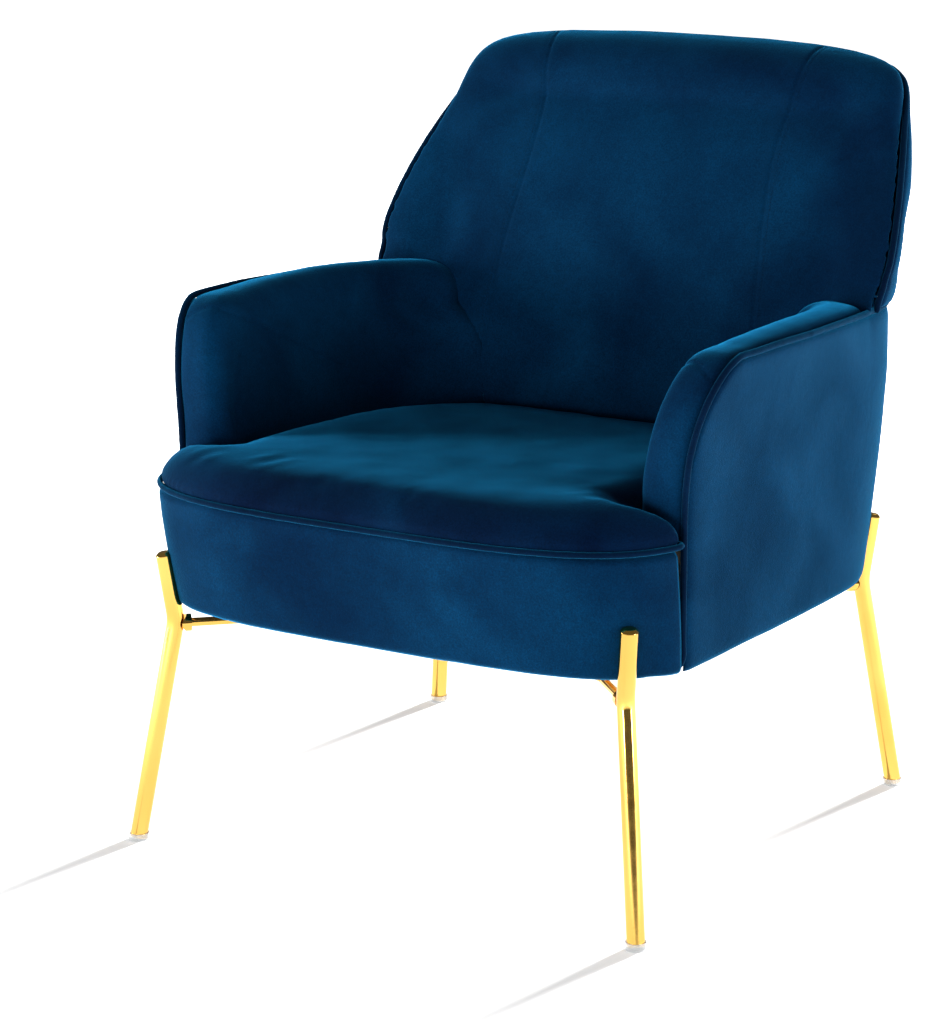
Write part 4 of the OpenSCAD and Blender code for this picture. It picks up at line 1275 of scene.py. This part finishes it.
# height over the tube's end, and radius
CAP_PROFILE = ((0.2, 10.0), (0.6, 10.05), (1.2, 9.8), (3.6, 7.2), (4.0, 6.6), (4.4, 4.5), (4.6, 0.5))
for foot_x, foot_y, lean in LEGS.values():
    for sign in (1, -1):
        path, high = leg_path(foot_x, foot_y, lean)
        tip = np.array([sign * path[-1][0], *path[-1][1:]])
        axis = np.array([sign * high[0], *high[1:]])
        centres = [tip + axis * h for h, _ in CAP_PROFILE]
        points, faces = loft(swept(centres, [r for _, r in CAP_PROFILE]), fan=True)
        base = len(cap_points)
        cap_points += points
        cap_faces += [tuple(i + base for i in f) for f in faces]
caps = new_piece("leg_caps_turned", cap_points, cap_faces, MAT["gold"], "gold_metal")
outward(caps)
crisp(caps, 25)
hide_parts("leg_caps")

# ---------------------------------------------------------------- lining under the seat
LINING_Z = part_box("dust_cover")[0][2] / MM + 0.4
LINING_INSET, LINING_REAR, LINING_SAG, LINING_THICK = 26.0, 0.92, 2.2, 0.0008
LINING_SCALES = (1.0, 0.985, 0.96, 0.9, 0.8, 0.65, 0.5, 0.35, 0.2, 0.1, 0.04)


def lining_loop(scale):
    """The plan of the lining scaled to its middle, sagging a little between the rails."""
    half = [front_point(a, FRONT_HALF - LINING_INSET, FRONT_START, FRONT_REACH - LINING_INSET)
            for a in np.linspace(90, 12, 24)]
    half += [(303, y) for y in range(-190, 20, 30)]
    rear = [rear_point(a, BASE_Z) for a in np.linspace(18, 90, 20)]
    half += [(LINING_REAR * x, LINING_REAR * y) for x, y in rear]
    loop = half + [(-x, y) for x, y in reversed(half[1:-1])]
    return [(scale * x, scale * y, LINING_Z + 0.5 * noise.noise(Vector((x * 0.02, y * 0.02, scale * 3)))
             + LINING_SAG * (1 - scale) * scale) for x, y in loop]


lining_rings = [lining_loop(scale) for scale in LINING_SCALES]
around = len(lining_rings[0])
lining_points = [tuple(c * MM for c in p) for ring in lining_rings for p in ring]
lining_faces = []
for j in range(len(lining_rings) - 1):
    for i in range(around):
        a, b = j * around + i, j * around + (i + 1) % around
        lining_faces.append((a, b, b + around, a + around))
lining_faces.append(tuple((len(lining_rings) - 1) * around + i for i in range(around)))
lining = new_piece("dust_lining", lining_points, lining_faces, MAT["felt"], "felt")
thick = lining.modifiers.new("thick", "SOLIDIFY")
thick.thickness = LINING_THICK
thick.offset = 0
apply_modifiers(lining)
outward(lining)
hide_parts("dust_cover")

# ---------------------------------------------------------------- webbing in the back
STRAP_Z, STRAP_H, STRAP_HALF, POST_SLOPE = (352.0, 430.0, 508.0, 586.0, 664.0), 46.0, 230.0, 0.253


POST_FOOT_Y, POST_FOOT_Z, STRAP_RIBS, STRAP_ALONG = 189.3, 284, 12, 60


def post_front(z):
    """Depth of the back posts' front faces."""
    return POST_FOOT_Y + POST_SLOPE * (z - POST_FOOT_Z)


def strap_rings(low):
    """One ribbed strap, from post to post."""
    rings = []
    for i in range(STRAP_ALONG + 1):
        x = lerp(-STRAP_HALF, STRAP_HALF, i / STRAP_ALONG)
        sag = 1.2 * (1 - (x / STRAP_HALF) ** 2)
        ring = []
        for lift, order in ((2.3, range(STRAP_RIBS + 1)), (1.0, range(STRAP_RIBS, -1, -1))):
            for k in order:
                z = low + STRAP_H * k / STRAP_RIBS
                ring.append((x, post_front(z) - lift - sag + 0.25 * (k % 2), z))
        rings.append(ring)
    return rings


strap_points, strap_faces = [], []
for low in STRAP_Z:
    points, faces = loft(strap_rings(low), strip=True)
    base = len(strap_points)
    strap_points += points
    strap_faces += [tuple(i + base for i in f) for f in faces]
straps = new_piece("back_webbing_straps", strap_points, strap_faces, MAT["felt"], "felt")
outward(straps)
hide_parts("back_webbing")

# ---------------------------------------------------------------- studio
FLOOR_HALF = 30.0
floor_mesh = bpy.data.meshes.new("floor")
corners = [(x * FLOOR_HALF, y * FLOOR_HALF, 0) for x, y in ((-1, -1), (1, -1), (1, 1), (-1, 1))]
floor_mesh.from_pydata(corners, [], [(0, 1, 2, 3)])
floor = bpy.data.objects.new("floor", floor_mesh)
bpy.context.scene.collection.objects.link(floor)
floor_mesh.materials.append(floor_material())


def area_light(name, place, target, size, energy):
    data = bpy.data.lights.new(name, "AREA")
    data.shape = "DISK"
    data.size = size
    data.energy = energy
    lamp = bpy.data.objects.new(name, data)
    lamp.location = place
    lamp.rotation_euler = (Vector(target) - Vector(place)).to_track_quat("-Z", "Y").to_euler()
    bpy.context.scene.collection.objects.link(lamp)
    return lamp


area_light("left_box", (-3.6, -2.0, 0.75), (0, 0, 0.5), 1.4, 170)
area_light("front_box", (-0.3, -3.6, 0.62), (0, 0, 0.62), 1.0, 85)
area_light("right_box", (3.8, 0.1, 0.9), (0, 0, 0.45), 1.6, 120)
area_light("rear_top", (0.2, 3.0, 2.6), (0, 0, 0.6), 1.2, 6)

# a high rear lamp that lights only the floor and is blocked only by the legs, for their long soft shadows
floor_lamp = area_light("leg_shadow_lamp", (0.6, 5.2, 3.6), (0, 0, 0), 0.7, 850)
lit = bpy.data.collections.new("lit_by_leg_shadow_lamp")
shading = bpy.data.collections.new("casts_leg_shadow")
for obj in bpy.data.objects:
    if obj.type == "MESH" and obj.name.startswith("leg_"):
        shading.objects.link(obj)
lit.objects.link(floor)
floor_lamp.light_linking.receiver_collection = lit
floor_lamp.light_linking.blocker_collection = shading

WORLD_STRENGTH = 0.15
world = bpy.data.worlds.new("studio")
bpy.context.scene.world = world
world.use_nodes = True
world.node_tree.nodes["Background"].inputs[0].default_value = (1, 1, 1, 1)
world.node_tree.nodes["Background"].inputs[1].default_value = WORLD_STRENGTH

SENSOR, FOCAL = 36, 3278.9 * 36 / 1024
camera_data = bpy.data.cameras.new("camera")
camera_data.sensor_width = SENSOR
camera_data.lens = FOCAL
camera_data.clip_end = 100
camera = bpy.data.objects.new("camera", camera_data)
CAMERA_PLACE = (1.889, -3.176, 1.26)
YAW, PITCH, ROLL = math.radians(32.03), math.radians(13.77), math.radians(-0.08)
aim = Euler((math.pi / 2 - PITCH, 0, YAW)).to_matrix().to_4x4()
camera.matrix_world = Matrix.Translation(CAMERA_PLACE) @ aim @ Matrix.Rotation(ROLL, 4, "Z")
bpy.context.scene.collection.objects.link(camera)
bpy.context.scene.camera = camera
bpy.context.scene.view_settings.view_transform = "Standard"
